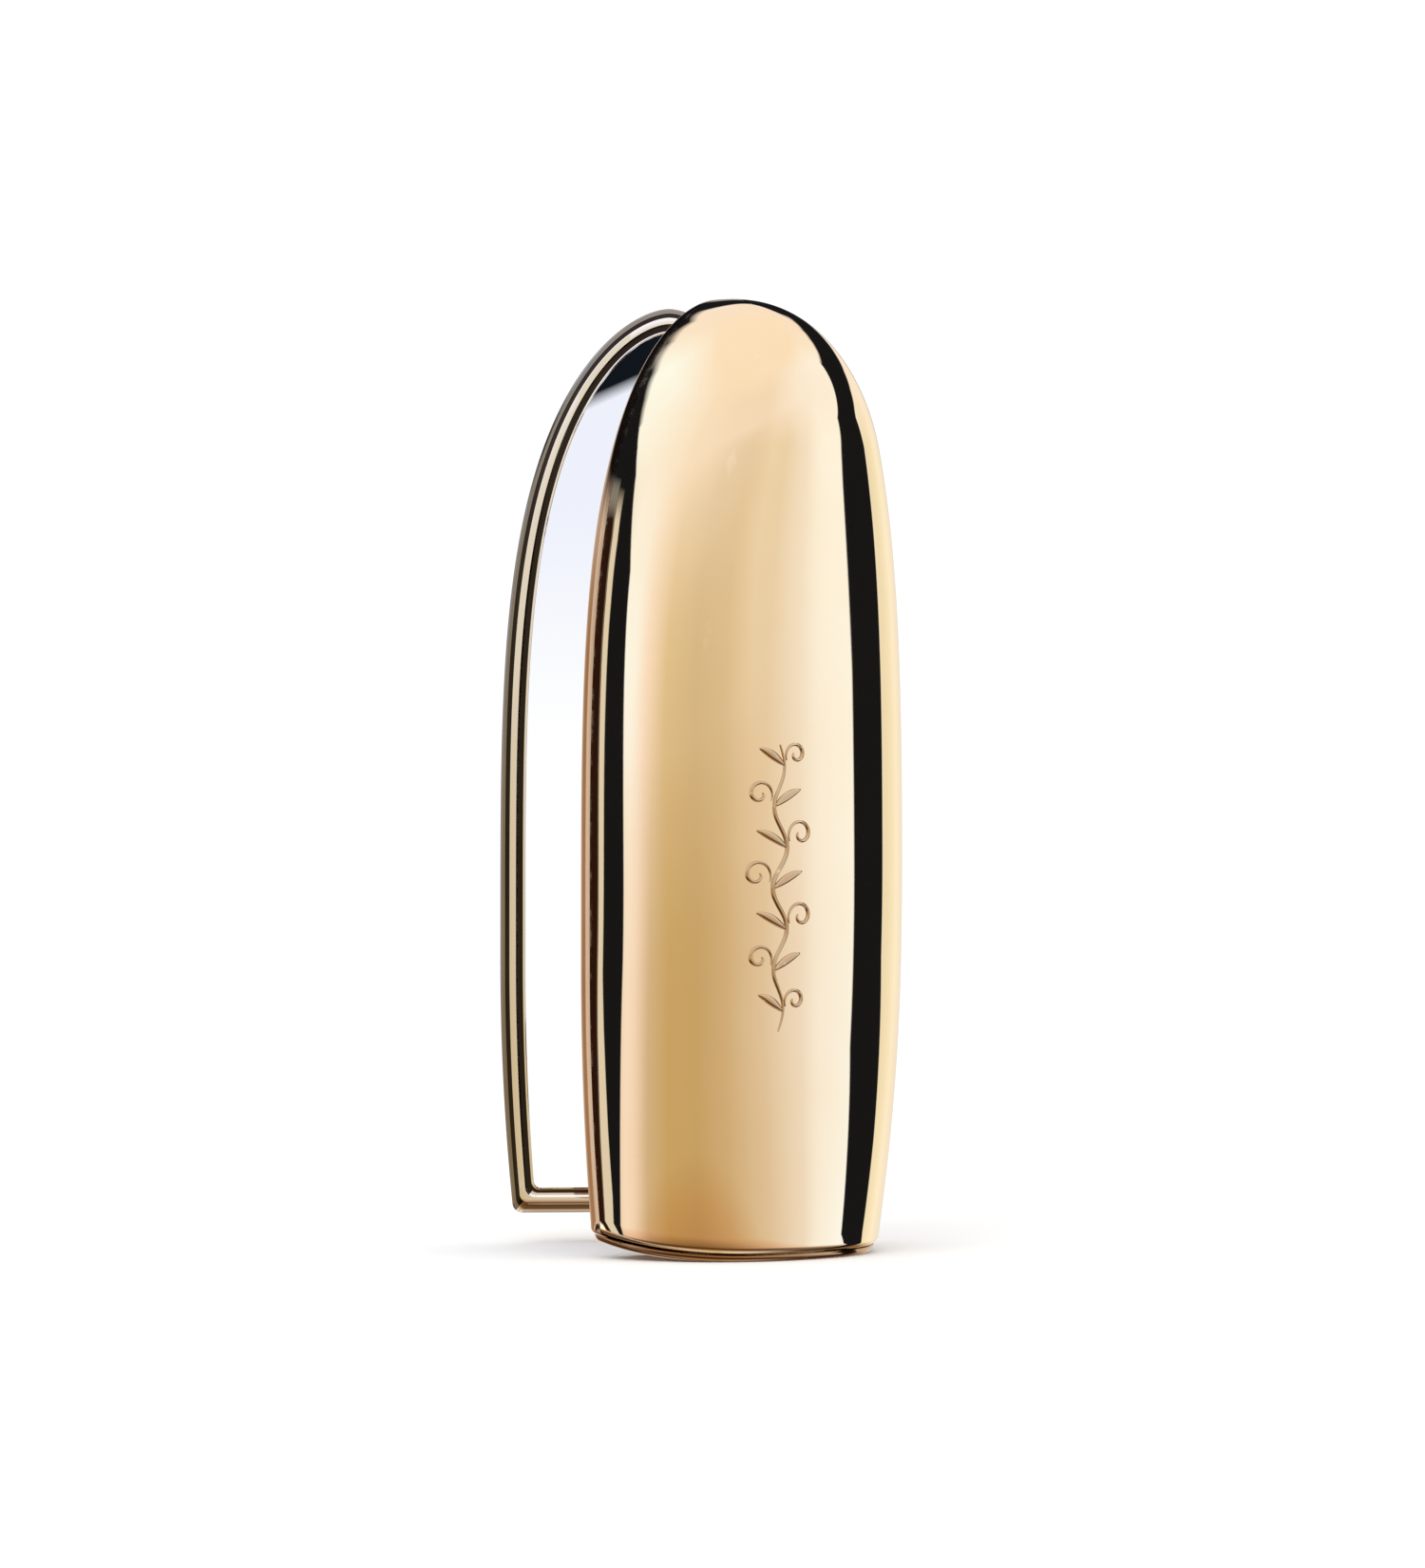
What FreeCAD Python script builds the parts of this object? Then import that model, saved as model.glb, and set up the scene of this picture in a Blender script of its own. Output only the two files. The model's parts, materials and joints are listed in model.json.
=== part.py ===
import FreeCAD, Part
import Sketcher
import math
import os

# Lipstick case with a mirror lid and a pull-out, twist-up refill. Millimetres.
# Frame: Z is the refill's axis, pointing up; the origin is the centre of the foot's flat underside;
# the crowned front faces -Y, the mirror lid is behind, and its hinge runs up the +X edge.

SIZES = (
    ("case_height", 87.0),
    ("half_width", 15.8),
    ("widest_height", 26.0),
    ("bottom_narrowing", 0.094),
    ("parting_y", 8.15),
    ("body_depth", 16.2),
    ("lid_depth", 4.2),
    ("lid_gap", 0.1),
    ("lid_bottom", 2.8),
    ("lid_rest_angle", 37.0),
    ("top_rounding", 14.0),
    ("lid_top_rounding", 8.0),
    ("deepest_height", 37.0),
    ("front_taper", 0.08),
    ("side_roundness", 2.75),
    ("roundness_loss", 0.5),
    ("shell_wall", 1.05),
    ("tray_thick", 1.8),
    ("rim_width", 2.2),
    ("mirror_thick", 0.8),
    ("mirror_recess", 0.1),
    ("tape_thick", 0.1),
    ("tape_inset", 1.0),
    ("mirror_corner", 0.7),
    ("seam", 0.03),
    ("foot_thick", 0.6),
    ("land_radius", 8.5),
    ("crown_radius", 18.0),
    ("crown_rise", 2.8),
    ("foot_thinning", 0.2),
    ("foot_gap", 0.05),
    ("floor_height", 4.2),
    ("chassis_top", 52.0),
    ("chassis_front_slot", 8.0),
    ("chassis_back_slot", 3.0),
    ("bullet_hole", 5.0),
    ("liner_outer", 6.15),
    ("liner_inner", 5.85),
    ("liner_bottom", 0.8),
    ("liner_top", 49.0),
    ("sleeve_outer", 5.8),
    ("sleeve_inner", 5.45),
    ("sleeve_bottom", 14.8),
    ("sleeve_top", 48.0),
    ("lip_inner", 4.85),
    ("lip_thick", 0.8),
    ("cam_outer", 5.43),
    ("cam_inner", 5.03),
    ("cam_bottom", 16.4),
    ("cam_top", 46.0),
    ("brake_bottom", 14.9),
    ("brake_top", 16.2),
    ("tube_outer", 4.97),
    ("tube_inner", 4.6),
    ("tube_bottom", 10.3),
    ("tube_top", 47.0),
    ("tube_flange", 5.4),
    ("flange_bottom", 46.2),
    ("barrel_top", 14.6),
    ("barrel_seat", 5.01),
    ("weight_radius", 4.4),
    ("weight_bottom", 1.7),
    ("weight_top", 9.0),
    ("ring_height", 6.0),
    ("ring_centre", 5.37),
    ("ring_wire", 0.45),
    ("disc_radius", 4.0),
    ("disc_depth", 0.15),
    ("cup_outer", 4.54),
    ("cup_inner", 4.15),
    ("cup_bottom", 17.0),
    ("cup_top", 29.0),
    ("cup_floor", 1.0),
    ("lug_height", 19.0),
    ("lug_radius", 0.55),
    ("lug_reach", 5.35),
    ("lug_play", 0.08),
    ("lug_root", 0.2),
    ("lift", 18.0),
    ("pitch", 12.0),
    ("groove_lead", 12.0),
    ("groove_overcut", 0.4),
    ("bullet_radius", 4.1),
    ("bullet_tip", 46.8),
    ("bullet_slant", 6.5),
    ("knuckle_radius", 0.95),
    ("knuckle_bore", 0.55),
    ("pin_radius", 0.5),
    ("pin_head", 0.85),
    ("pin_head_thick", 0.35),
    ("hinge_offset", 0.05),
    ("hinge_low", 14.0),
    ("hinge_high", 44.0),
    ("knuckle_length", 5.0),
    ("knuckle_gap", 0.1),
    ("web_reach", 2.0),
    ("spine_width", 0.75),
    ("web_inset", 0.15),
    ("web_thick", 0.8),
    ("pocket_play", 0.02),
    ("spring_wire", 0.12),
    ("spring_radius", 0.76),
    ("spring_pitch", 0.9),
    ("magnet_radius", 0.7),
    ("magnet_length", 1.0),
    ("magnet_sink", 0.5),
    ("cut_past", 1.0),
    ("trim_reach", 30.0),
)

ARCH_RISE = 3.9         # how late the arch turns in, along its height
ARCH_SPREAD = 1.7       # how round the arch is at its crown
CROWN_SPREAD = 2.95     # the same, for the depth of the front
SECTION_STEPS = 32      # points around one D-shaped section
SIDE_SECTIONS = 8       # sections up the sides of a form
TOP_ANGLES = (15, 30, 45, 56, 66, 74, 80, 85, 88)   # degrees up the rounded top, one section each
ARCH_STEPS = 24         # points up one side of an arch, above its widest height
LOW_STEPS = 4           # points below it
FORM_BELOW = 1.0        # how far the outer form runs below the foot before it is trimmed
CROWN_OVERRUN = 2.0     # how far the crowned trimming solid runs past the case
CROWN_DEEP = 10.0       # how far it reaches down
CLOSE = 1e-4            # lengths below this count as nothing

HINGE_X = "half_width + hinge_offset"
HINGE_Y = "parting_y"

doc = FreeCAD.newDocument("LipstickCase")
sheet = doc.addObject("Spreadsheet::Sheet", "Sizes")


def fill_sheet():
    """Write each driving size as plain text with its alias."""
    for row, (alias, value) in enumerate(SIZES, start=1):
        sheet.set(f"A{row}", alias)
        sheet.set(f"B{row}", str(value))
        sheet.setAlias(f"B{row}", alias)
    doc.recompute()


def size(alias):
    """The value of one driving size."""
    return float(sheet.get(alias))


def bind(thing, **expressions):
    """Bind properties to expressions; a bare alias is read from the sheet."""
    for name, text in expressions.items():
        thing.setExpression(name.replace("__", "."), linked(text))


def linked(text):
    """An expression with every alias prefixed by the sheet's name."""
    words = []
    for word in str(text).split(" "):
        words.append(f"Sizes.{word}" if word in ALIASES else word)
    return " ".join(words)


def value_of(text):
    """The present value of an expression."""
    result = sheet.evalExpression(linked(text))
    return float(getattr(result, "Value", result))


ALIASES = {alias for alias, _ in SIZES}


# ---- simple solids bound to the sheet -------------------------------------------------------------

def cylinder(name, radius, bottom, top, x="0", y="0"):
    """An upright cylinder between two heights."""
    solid = doc.addObject("Part::Cylinder", name)
    bind(solid, Radius=radius, Height=f"( {top} ) - ( {bottom} )")
    bind(solid, Placement__Base__x=x, Placement__Base__y=y, Placement__Base__z=bottom)
    return solid


def box(name, low, high):
    """A box between two corners, each a triple of expressions."""
    solid = doc.addObject("Part::Box", name)
    spans = [f"( {top} ) - ( {bottom} )" for bottom, top in zip(low, high)]
    bind(solid, Length=spans[0], Width=spans[1], Height=spans[2])
    bind(solid, Placement__Base__x=low[0], Placement__Base__y=low[1], Placement__Base__z=low[2])
    return solid


def form(name, shape):
    """A code-made solid kept as a document object."""
    solid = doc.addObject("Part::Feature", name)
    solid.Shape = shape
    return solid


def fuse(name, pieces):
    """One solid from several."""
    joined = doc.addObject("Part::MultiFuse", name)
    joined.Shapes = pieces
    return joined


def cut(name, base, tool):
    """The base less the tool."""
    result = doc.addObject("Part::Cut", name)
    result.Base = base
    result.Tool = tool
    return result


def common(name, base, tool):
    """What the two solids share."""
    result = doc.addObject("Part::Common", name)
    result.Base = base
    result.Tool = tool
    return result


def trim_slab(name, near_y, far_y):
    """A slab between two y planes that is wider and taller than the case."""
    return box(name, ("-1 * trim_reach", near_y, "-1 * trim_reach"),
               ("trim_reach", far_y, "case_height + trim_reach"))


def tube(name, outer, inner, bottom, top):
    """A plain tube about the refill's axis."""
    wall = cylinder(name + "_wall", outer, bottom, top)
    hole = cylinder(name + "_hole", inner, f"( {bottom} ) - cut_past", f"( {top} ) + cut_past")
    return cut(name, wall, hole)


def origin_plane(body, role):
    """One of a body's own origin planes."""
    for feature in body.Origin.OriginFeatures:
        if feature.Role == role:
            return feature
    raise ValueError(role)


def turned_body(name, outline):
    """A body turned about Z from a closed outline of (radius, height) expressions."""
    body = doc.addObject("PartDesign::Body", name)
    sketch = body.newObject("Sketcher::SketchObject", name + "_profile")
    sketch.AttachmentSupport = (origin_plane(body, "XZ_Plane"), [""])
    sketch.MapMode = "FlatFace"
    corners = [FreeCAD.Vector(value_of(r), value_of(z), 0) for r, z in outline]
    count = len(corners)
    for i in range(count):
        sketch.addGeometry(Part.LineSegment(corners[i], corners[(i + 1) % count]), False)
    add_outline_constraints(sketch, outline, corners)
    turn = body.newObject("PartDesign::Revolution", name + "_turn")
    turn.Profile = sketch
    turn.ReferenceAxis = (sketch, ["V_Axis"])
    turn.Angle = 360.0
    body.Tip = turn
    return body


def add_outline_constraints(sketch, outline, corners):
    """Join an outline's lines and bind each corner to its expressions."""
    count = len(corners)
    for i in range(count):
        sketch.addConstraint(Sketcher.Constraint("Coincident", i, 2, (i + 1) % count, 1))
    for i, (radius, height) in enumerate(outline):
        place_corner(sketch, i, radius, corners[i].x, "DistanceX", -2)
        place_corner(sketch, i, height, corners[i].y, "DistanceY", -1)


def place_corner(sketch, corner, text, value, kind, axis):
    """Hold one corner on an axis or at a bound distance from the origin."""
    if abs(value) < 1e-9:
        sketch.addConstraint(Sketcher.Constraint("PointOnObject", corner, 1, axis))
        return
    index = sketch.addConstraint(Sketcher.Constraint(kind, -1, 1, corner, 1, value))
    sketch.setExpression(f"Constraints[{index}]", linked(text))


# ---- the case's outer form ------------------------------------------------------------------------

def arch_half_width(height, inset=0.0):
    """Half the width of the arched outline at a height, with the outline drawn in by inset."""
    widest = size("widest_height")
    full = size("half_width") - inset
    if height <= widest:
        drop = (widest - height) / widest
        return full * (1 - size("bottom_narrowing") * drop ** 2)
    rise = (height - widest) / (size("case_height") - inset - widest)
    return full * (1 - rise ** ARCH_RISE) ** (1 / ARCH_SPREAD)


def body_depth(height, inset=0.0):
    """Depth of the front half at a height, from the parting plane to its crown."""
    full = size("body_depth") - inset
    deepest = size("deepest_height")
    if height < deepest:
        return full * (1 - size("front_taper") * ((deepest - height) / deepest) ** 2)
    return full * rounded_top(height, inset, size("top_rounding"))


def lid_depth(height, inset=0.0):
    """Depth of the lid at a height, from its front face to its back."""
    return (size("lid_depth") - inset) * rounded_top(height, inset, size("lid_top_rounding"))


def rounded_top(height, inset, rounding):
    """Share of the full depth left at a height near the top."""
    start = size("case_height") - rounding
    if height <= start:
        return 1.0
    rise = (height - start) / (rounding - inset)
    return max(1 - rise ** 2, 0.0) ** (1 / CROWN_SPREAD)


def section_roundness(height):
    """Power of the superellipse that a section follows; 2 is an ellipse."""
    deepest = size("deepest_height")
    below = max(deepest - height, 0.0) / deepest
    return size("side_roundness") - size("roundness_loss") * below ** 2


def section_wire(height, depth, inset, plane_y, side):
    """A D-shaped section: a superellipse arc closed by a straight line on the parting plane."""
    half = arch_half_width(height, inset)
    deep = depth(height, inset)
    power = 2 / section_roundness(height)
    points = []
    for step in range(SECTION_STEPS + 1):
        angle = math.pi * step / SECTION_STEPS
        across = math.copysign(abs(math.cos(angle)) ** power, math.cos(angle))
        out = abs(math.sin(angle)) ** power
        points.append(FreeCAD.Vector(-half * across, plane_y + side * deep * out, height))
    curve = Part.BSplineCurve()
    curve.interpolate(points)
    return Part.Wire([curve.toShape(), Part.makeLine(points[-1], points[0])])


def loft_heights(bottom, top, rounding):
    """Section heights: even up the sides, closer together over the rounded top."""
    start = top - rounding
    heights = [bottom + (start - bottom) * i / SIDE_SECTIONS for i in range(SIDE_SECTIONS + 1)]
    for degrees in TOP_ANGLES:
        heights.append(start + rounding * math.sin(math.radians(degrees)))
    return heights


def d_form(depth, inset, bottom, plane_y, side, rounding):
    """A lofted half of the case, with its flat side on the plane y = plane_y."""
    top = size("case_height") - inset
    wires = []
    for height in loft_heights(bottom, top, rounding - inset):
        wires.append(section_wire(height, depth, inset, plane_y, side))
    return Part.makeLoft(wires, True, False)


def crown_solid(lift, flatter=0.0):
    """Everything below the crowned underside, raised by lift: flat in the middle, turned up outside."""
    land = size("land_radius")
    reach = size("crown_radius")
    rise = size("crown_rise") - flatter
    curve_radius = ((reach - land) ** 2 + rise ** 2) / (2 * rise)
    far = reach + CROWN_OVERRUN
    far_rise = curve_radius - math.sqrt(curve_radius ** 2 - (far - land) ** 2)
    middle = (land + far) / 2
    middle_rise = curve_radius - math.sqrt(curve_radius ** 2 - (middle - land) ** 2)
    start = FreeCAD.Vector(land, 0, lift)
    through = FreeCAD.Vector(middle, 0, lift + middle_rise)
    end = FreeCAD.Vector(far, 0, lift + far_rise)
    corner = FreeCAD.Vector(far, 0, -CROWN_DEEP)
    bottom = FreeCAD.Vector(0, 0, -CROWN_DEEP)
    centre = FreeCAD.Vector(0, 0, lift)
    edges = [
        Part.makeLine(centre, start),
        Part.Arc(start, through, end).toShape(),
        Part.makeLine(end, corner),
        Part.makeLine(corner, bottom),
        Part.makeLine(bottom, centre),
    ]
    face = Part.Face(Part.Wire(edges))
    return face.revolve(FreeCAD.Vector(0, 0, 0), FreeCAD.Vector(0, 0, 1), 360)


def arch_plate(inset, bottom, near_y, far_y):
    """A flat plate with the case's arched outline drawn in by inset, between two y planes."""
    widest = size("widest_height")
    top = size("case_height") - inset
    low_heights = [bottom + (widest - bottom) * i / LOW_STEPS for i in range(LOW_STEPS)]
    side = [(arch_half_width(height, inset), height) for height in low_heights]
    for i in range(ARCH_STEPS):
        height = widest + (top - widest) * math.sin(math.pi / 2 * i / ARCH_STEPS) ** (2 / ARCH_RISE)
        side.append((arch_half_width(height, inset), height))
    right = [FreeCAD.Vector(x, near_y, z) for x, z in side]
    left = [FreeCAD.Vector(-x, near_y, z) for x, z in reversed(side)]
    curve = Part.BSplineCurve()
    curve.interpolate(right + [FreeCAD.Vector(0, near_y, top)] + left)
    wire = Part.Wire([curve.toShape(), Part.makeLine(left[-1], right[0])])
    plate = Part.Face(wire).extrude(FreeCAD.Vector(0, far_y - near_y, 0))
    corners = [edge for edge in plate.Edges
               if abs(edge.BoundBox.ZMax - bottom) < CLOSE and edge.BoundBox.XLength < CLOSE]
    return plate.makeFillet(size("mirror_corner"), corners)


# ---- the front half -------------------------------------------------------------------------------

def make_front_half():
    """Shell, mirror tray, chassis, liner and the tray's mirror."""
    parting = size("parting_y")
    outer = form("front_form", d_form(body_depth, 0.0, -FORM_BELOW, parting, -1, size("top_rounding")))
    cavity_shape = d_form(body_depth, size("shell_wall"), size("floor_height"), parting, -1,
                          size("top_rounding"))
    cavity = form("front_cavity", cavity_shape)
    under_lift = size("foot_thick") + size("foot_gap")
    under = form("shell_underside", crown_solid(under_lift, size("foot_thinning")))
    bore = cylinder("liner_bore", "liner_outer + pocket_play", "0", "liner_top + cut_past")
    behind = trim_slab("behind_shell", "parting_y - tray_thick - seam", "trim_reach")
    waste = fuse("front_shell_waste", [cavity, under, bore, behind])
    cut("front_shell", outer, waste)
    make_chassis(parting)
    tube("socket_liner", "liner_outer", "liner_inner", "liner_bottom", "liner_top")
    slab = trim_slab("front_tray_slab", "parting_y - tray_thick", "parting_y")
    blank = common("front_tray_blank", outer, slab)
    make_tray("front", blank, -1, [under])
    make_foot_plate(outer)


def make_chassis(parting):
    """Moulded insert at both sides of the liner, joined above it by a bridge with a hole for the bullet."""
    inset = size("shell_wall") + size("foot_gap")
    bottom = size("floor_height") + size("foot_gap")
    blank = form("chassis_blank", d_form(body_depth, inset, bottom, parting, -1, size("top_rounding")))
    keep = box("chassis_keep", ("-1 * trim_reach", "-1 * trim_reach", "0"),
               ("trim_reach", "parting_y - tray_thick - foot_gap", "chassis_top"))
    block = common("chassis_block", blank, keep)
    bore = cylinder("chassis_bore", "liner_outer + pocket_play", "0", "liner_top + knuckle_gap")
    hole = cylinder("chassis_hole", "bullet_hole", "0", "chassis_top + cut_past")
    front = box("chassis_front_gap", ("chassis_front_slot / -2", "-1 * trim_reach", "0"),
                ("chassis_front_slot / 2", "0", "liner_top + knuckle_gap"))
    back = box("chassis_back_gap", ("chassis_back_slot / -2", "0", "0"),
               ("chassis_back_slot / 2", "trim_reach", "liner_top + knuckle_gap"))
    cut("chassis", block, fuse("chassis_waste", [bore, hole, front, back]))


def make_tray(half, blank, side, extra_waste):
    """A mirror tray with its pocket, the tape and mirror in it, and room for the hinge and catch."""
    face = size("parting_y") if side < 0 else size("parting_y") + size("lid_gap")
    deep = size("mirror_recess") + size("mirror_thick") + size("tape_thick")
    rim = size("rim_width")
    bottom = size("lid_bottom") + rim
    open_y = face - side * size("cut_past")
    pocket = form(half + "_mirror_pocket", arch_plate(rim, bottom, face + side * deep, open_y))
    relief = cylinder(half + "_hinge_relief", "knuckle_radius + knuckle_gap",
                      "hinge_low - 2 * knuckle_gap - pin_head_thick",
                      "hinge_high + 2 * knuckle_gap + pin_head_thick", HINGE_X, HINGE_Y)
    webs = web_boxes(half + "_web_pocket", side, "pocket_play")
    catch = catch_cylinder(half + "_catch_pocket", side, "magnet_radius + pocket_play")
    waste = fuse(half + "_tray_waste", [pocket, relief, catch] + webs + extra_waste)
    tray = cut(half + "_tray", blank, waste)
    play = size("seam")
    glass_face = face + side * size("mirror_recess")
    glass_back = glass_face + side * size("mirror_thick")
    floor = face + side * deep
    mirror = form(half + "_mirror", arch_plate(rim + play, bottom + play, glass_face, glass_back))
    inset = size("tape_inset")
    tape = form(half + "_mirror_tape", arch_plate(rim + inset, bottom + inset, glass_back, floor))
    return tray, mirror, tape


def catch_cylinder(name, side, radius):
    """A short rod across the rim at the free edge, at the widest height."""
    rod = doc.addObject("Part::Cylinder", name)
    bind(rod, Radius=radius, Height="magnet_length")
    face = size("parting_y") if side < 0 else size("parting_y") + size("lid_gap")
    near = face + side * size("magnet_sink")
    x = -size("half_width") + size("rim_width") / 2
    turn = FreeCAD.Rotation(FreeCAD.Vector(1, 0, 0), -90 * side)
    rod.Placement = FreeCAD.Placement(FreeCAD.Vector(x, near, size("widest_height")), turn)
    return rod


def knuckle_spans(side):
    """Lower and upper height expressions of one leaf's two knuckles."""
    if side < 0:
        return [("hinge_low", "hinge_low + knuckle_length"),
                ("hinge_high - knuckle_length", "hinge_high")]
    return [("hinge_low + knuckle_length + knuckle_gap", "hinge_low + 2 * knuckle_length"),
            ("hinge_high - 2 * knuckle_length", "hinge_high - knuckle_length - knuckle_gap")]


def web_boxes(name, side, play):
    """Webs that run from each knuckle into its tray, and the spine that joins them there."""
    near = f"parting_y + {side} * web_inset" if side < 0 else "parting_y + lid_gap + web_inset"
    far = f"{near} + {side} * web_thick"
    low_y, high_y = (far, near) if side < 0 else (near, far)
    boxes = []
    for i, (low, high) in enumerate(knuckle_spans(side)):
        boxes.append(box(f"{name}_{i}",
                         (f"{HINGE_X} - web_reach - {play}", f"{low_y} - {play}", f"{low} - {play}"),
                         (HINGE_X, f"{high_y} + {play}", f"{high} + {play}")))
    spine_x = f"{HINGE_X} - web_reach"
    spans = knuckle_spans(side)
    boxes.append(box(f"{name}_spine",
                     (f"{spine_x} - {play}", f"{low_y} - {play}", spans[0][0]),
                     (f"{spine_x} + spine_width + {play}", f"{high_y} + {play}", spans[1][1])))
    return boxes


def make_hinge_leaf(name, side):
    """Two knuckles with their webs, bored for the pin."""
    pieces = web_boxes(name + "_web", side, "0")
    for i, (low, high) in enumerate(knuckle_spans(side)):
        pieces.append(cylinder(f"{name}_knuckle_{i}", "knuckle_radius", low, high, HINGE_X, HINGE_Y))
    blank = fuse(name + "_blank", pieces)
    bore = cylinder(name + "_bore", "knuckle_bore", "hinge_low - cut_past", "hinge_high + cut_past",
                    HINGE_X, HINGE_Y)
    return cut(name, blank, bore)


def make_hinge_pin():
    """Pin with a small head at each end."""
    shank = cylinder("hinge_pin_shank", "pin_radius", "hinge_low - knuckle_gap",
                     "hinge_high + knuckle_gap", HINGE_X, HINGE_Y)
    low = cylinder("hinge_pin_foot", "pin_head", "hinge_low - knuckle_gap - pin_head_thick",
                   "hinge_low - knuckle_gap", HINGE_X, HINGE_Y)
    high = cylinder("hinge_pin_head", "pin_head", "hinge_high + knuckle_gap",
                    "hinge_high + knuckle_gap + pin_head_thick", HINGE_X, HINGE_Y)
    fuse("hinge_pin", [shank, low, high])


def make_hinge_spring():
    """Coil between the inner knuckles, around the pin."""
    low = size("hinge_low") + 2 * size("knuckle_length") + 3 * size("spring_wire")
    high = size("hinge_high") - 2 * size("knuckle_length") - 3 * size("spring_wire")
    radius = size("spring_radius")
    path = Part.Wire(Part.makeLongHelix(size("spring_pitch"), high - low, radius, 0).Edges)
    start = FreeCAD.Vector(radius, 0, 0)
    ring = Part.Wire([Part.makeCircle(size("spring_wire"), start, FreeCAD.Vector(0, 1, 0))])
    coil = form("hinge_spring", path.makePipeShell([ring], True, True))
    place = FreeCAD.Vector(value_of(HINGE_X), value_of(HINGE_Y), low)
    coil.Placement = FreeCAD.Placement(place, FreeCAD.Rotation())


def make_foot_plate(outer):
    """Thin D-shaped foot under the shell, crowned like it, with a shallow round recess below."""
    above = form("foot_top_form", crown_solid(size("foot_thick"), size("foot_thinning")))
    below = form("foot_under_form", crown_solid(0.0))
    recess = cylinder("foot_recess", "disc_radius + seam", "-1 * cut_past", "disc_depth")
    slab = common("foot_slab", outer, above)
    waste = fuse("foot_waste", [below, recess])
    cut("foot_plate", slab, waste)
    cylinder("shade_disc", "disc_radius", "0", "disc_depth - seam")


# ---- the lid --------------------------------------------------------------------------------------

def make_lid():
    """Back shell, mirror tray and mirror, modelled shut; turned to its rest angle afterwards."""
    face = size("parting_y") + size("lid_gap")
    bottom = size("lid_bottom")
    outer = form("rear_form", d_form(lid_depth, 0.0, bottom, face, 1, size("lid_top_rounding")))
    wall = size("shell_wall")
    cavity = form("rear_cavity", d_form(lid_depth, wall, bottom + wall, face, 1,
                                        size("lid_top_rounding")))
    before = trim_slab("before_rear_shell", "0", "parting_y + lid_gap + tray_thick + seam")
    waste = fuse("rear_shell_waste", [cavity, before])
    shell = cut("rear_shell", outer, waste)
    slab = trim_slab("rear_tray_slab", "parting_y + lid_gap", "parting_y + lid_gap + tray_thick")
    blank = common("rear_tray_blank", outer, slab)
    tray, mirror, tape = make_tray("rear", blank, 1, [])
    leaf = make_hinge_leaf("lid_hinge_leaf", 1)
    strike = catch_cylinder("catch_strike", 1, "magnet_radius")
    return [shell, tray, mirror, tape, leaf, strike]


def open_lid(pieces):
    """Turn the lid's pieces about the hinge to the angle they rest at."""
    hinge = FreeCAD.Vector(value_of(HINGE_X), value_of(HINGE_Y), 0)
    turn = FreeCAD.Rotation(FreeCAD.Vector(0, 0, 1), -size("lid_rest_angle"))
    swing = FreeCAD.Placement(FreeCAD.Vector(0, 0, 0), turn, hinge)
    for piece in pieces:
        piece.Placement = swing.multiply(piece.Placement)


# ---- the refill -----------------------------------------------------------------------------------

def make_refill():
    """Outer sleeve, spiral cam and brake ring."""
    turned_body("refill_sleeve", (
        ("sleeve_inner", "sleeve_bottom"),
        ("sleeve_outer", "sleeve_bottom"),
        ("sleeve_outer", "sleeve_top"),
        ("lip_inner", "sleeve_top"),
        ("lip_inner", "sleeve_top - lip_thick"),
        ("sleeve_inner", "sleeve_top - lip_thick"),
    ))
    tube("brake_ring", "sleeve_inner - pocket_play", "tube_outer + lug_play - pocket_play",
         "brake_bottom", "brake_top")
    make_cam()


def make_cam():
    """Sleeve with two spiral grooves through its wall, half a turn apart."""
    lead = size("groove_lead")
    turns = size("lift") / size("pitch") + 2 * lead / 360
    slope = math.atan2(size("pitch"), 2 * math.pi * size("cam_outer"))
    half = (size("lug_radius") + size("lug_play")) / math.cos(slope)
    start = size("lug_height") - size("pitch") * lead / 360
    near = size("cam_inner") - size("groove_overcut")
    far = size("cam_outer") + size("groove_overcut")
    blank = tube("cam_blank", "cam_outer", "cam_inner", "cam_bottom", "cam_top")
    path = Part.Wire(Part.makeLongHelix(size("pitch"), turns * size("pitch"), size("cam_outer"), 0).Edges)
    outline = ((near, -half), (far, -half), (far, half), (near, half))
    corners = [FreeCAD.Vector(radius, 0, height) for radius, height in outline]
    profile = Part.makePolygon(corners + corners[:1])
    thread = path.makePipeShell([profile], True, True)
    grooves = []
    for i, turn in enumerate((0, 180)):
        groove = form(f"cam_groove_{i}", thread)
        groove.Placement = FreeCAD.Placement(FreeCAD.Vector(0, 0, start),
                                             FreeCAD.Rotation(FreeCAD.Vector(0, 0, 1), turn - lead))
        grooves.append(groove)
    cut("cam_sleeve", blank, fuse("cam_grooves", grooves))


def make_base():
    """Barrel, slotted inner tube, weight and o-ring that turn with the foot."""
    turned_body("base_barrel", (
        ("0", "foot_thick"),
        ("sleeve_outer", "foot_thick"),
        ("sleeve_outer", "ring_height - ring_wire - foot_gap"),
        ("ring_centre - ring_wire", "ring_height - ring_wire - foot_gap"),
        ("ring_centre - ring_wire", "ring_height + ring_wire + foot_gap"),
        ("sleeve_outer", "ring_height + ring_wire + foot_gap"),
        ("sleeve_outer", "barrel_top"),
        ("barrel_seat", "barrel_top"),
        ("barrel_seat", "tube_bottom"),
        ("weight_radius + foot_gap", "tube_bottom"),
        ("weight_radius + foot_gap", "weight_bottom"),
        ("0", "weight_bottom"),
    ))
    cylinder("weight_slug", "weight_radius", "weight_bottom", "weight_top")
    ring = doc.addObject("Part::Torus", "base_o_ring")
    bind(ring, Radius1="ring_centre + pocket_play", Radius2="ring_wire - pocket_play",
         Placement__Base__z="ring_height")
    make_inner_tube()


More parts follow.
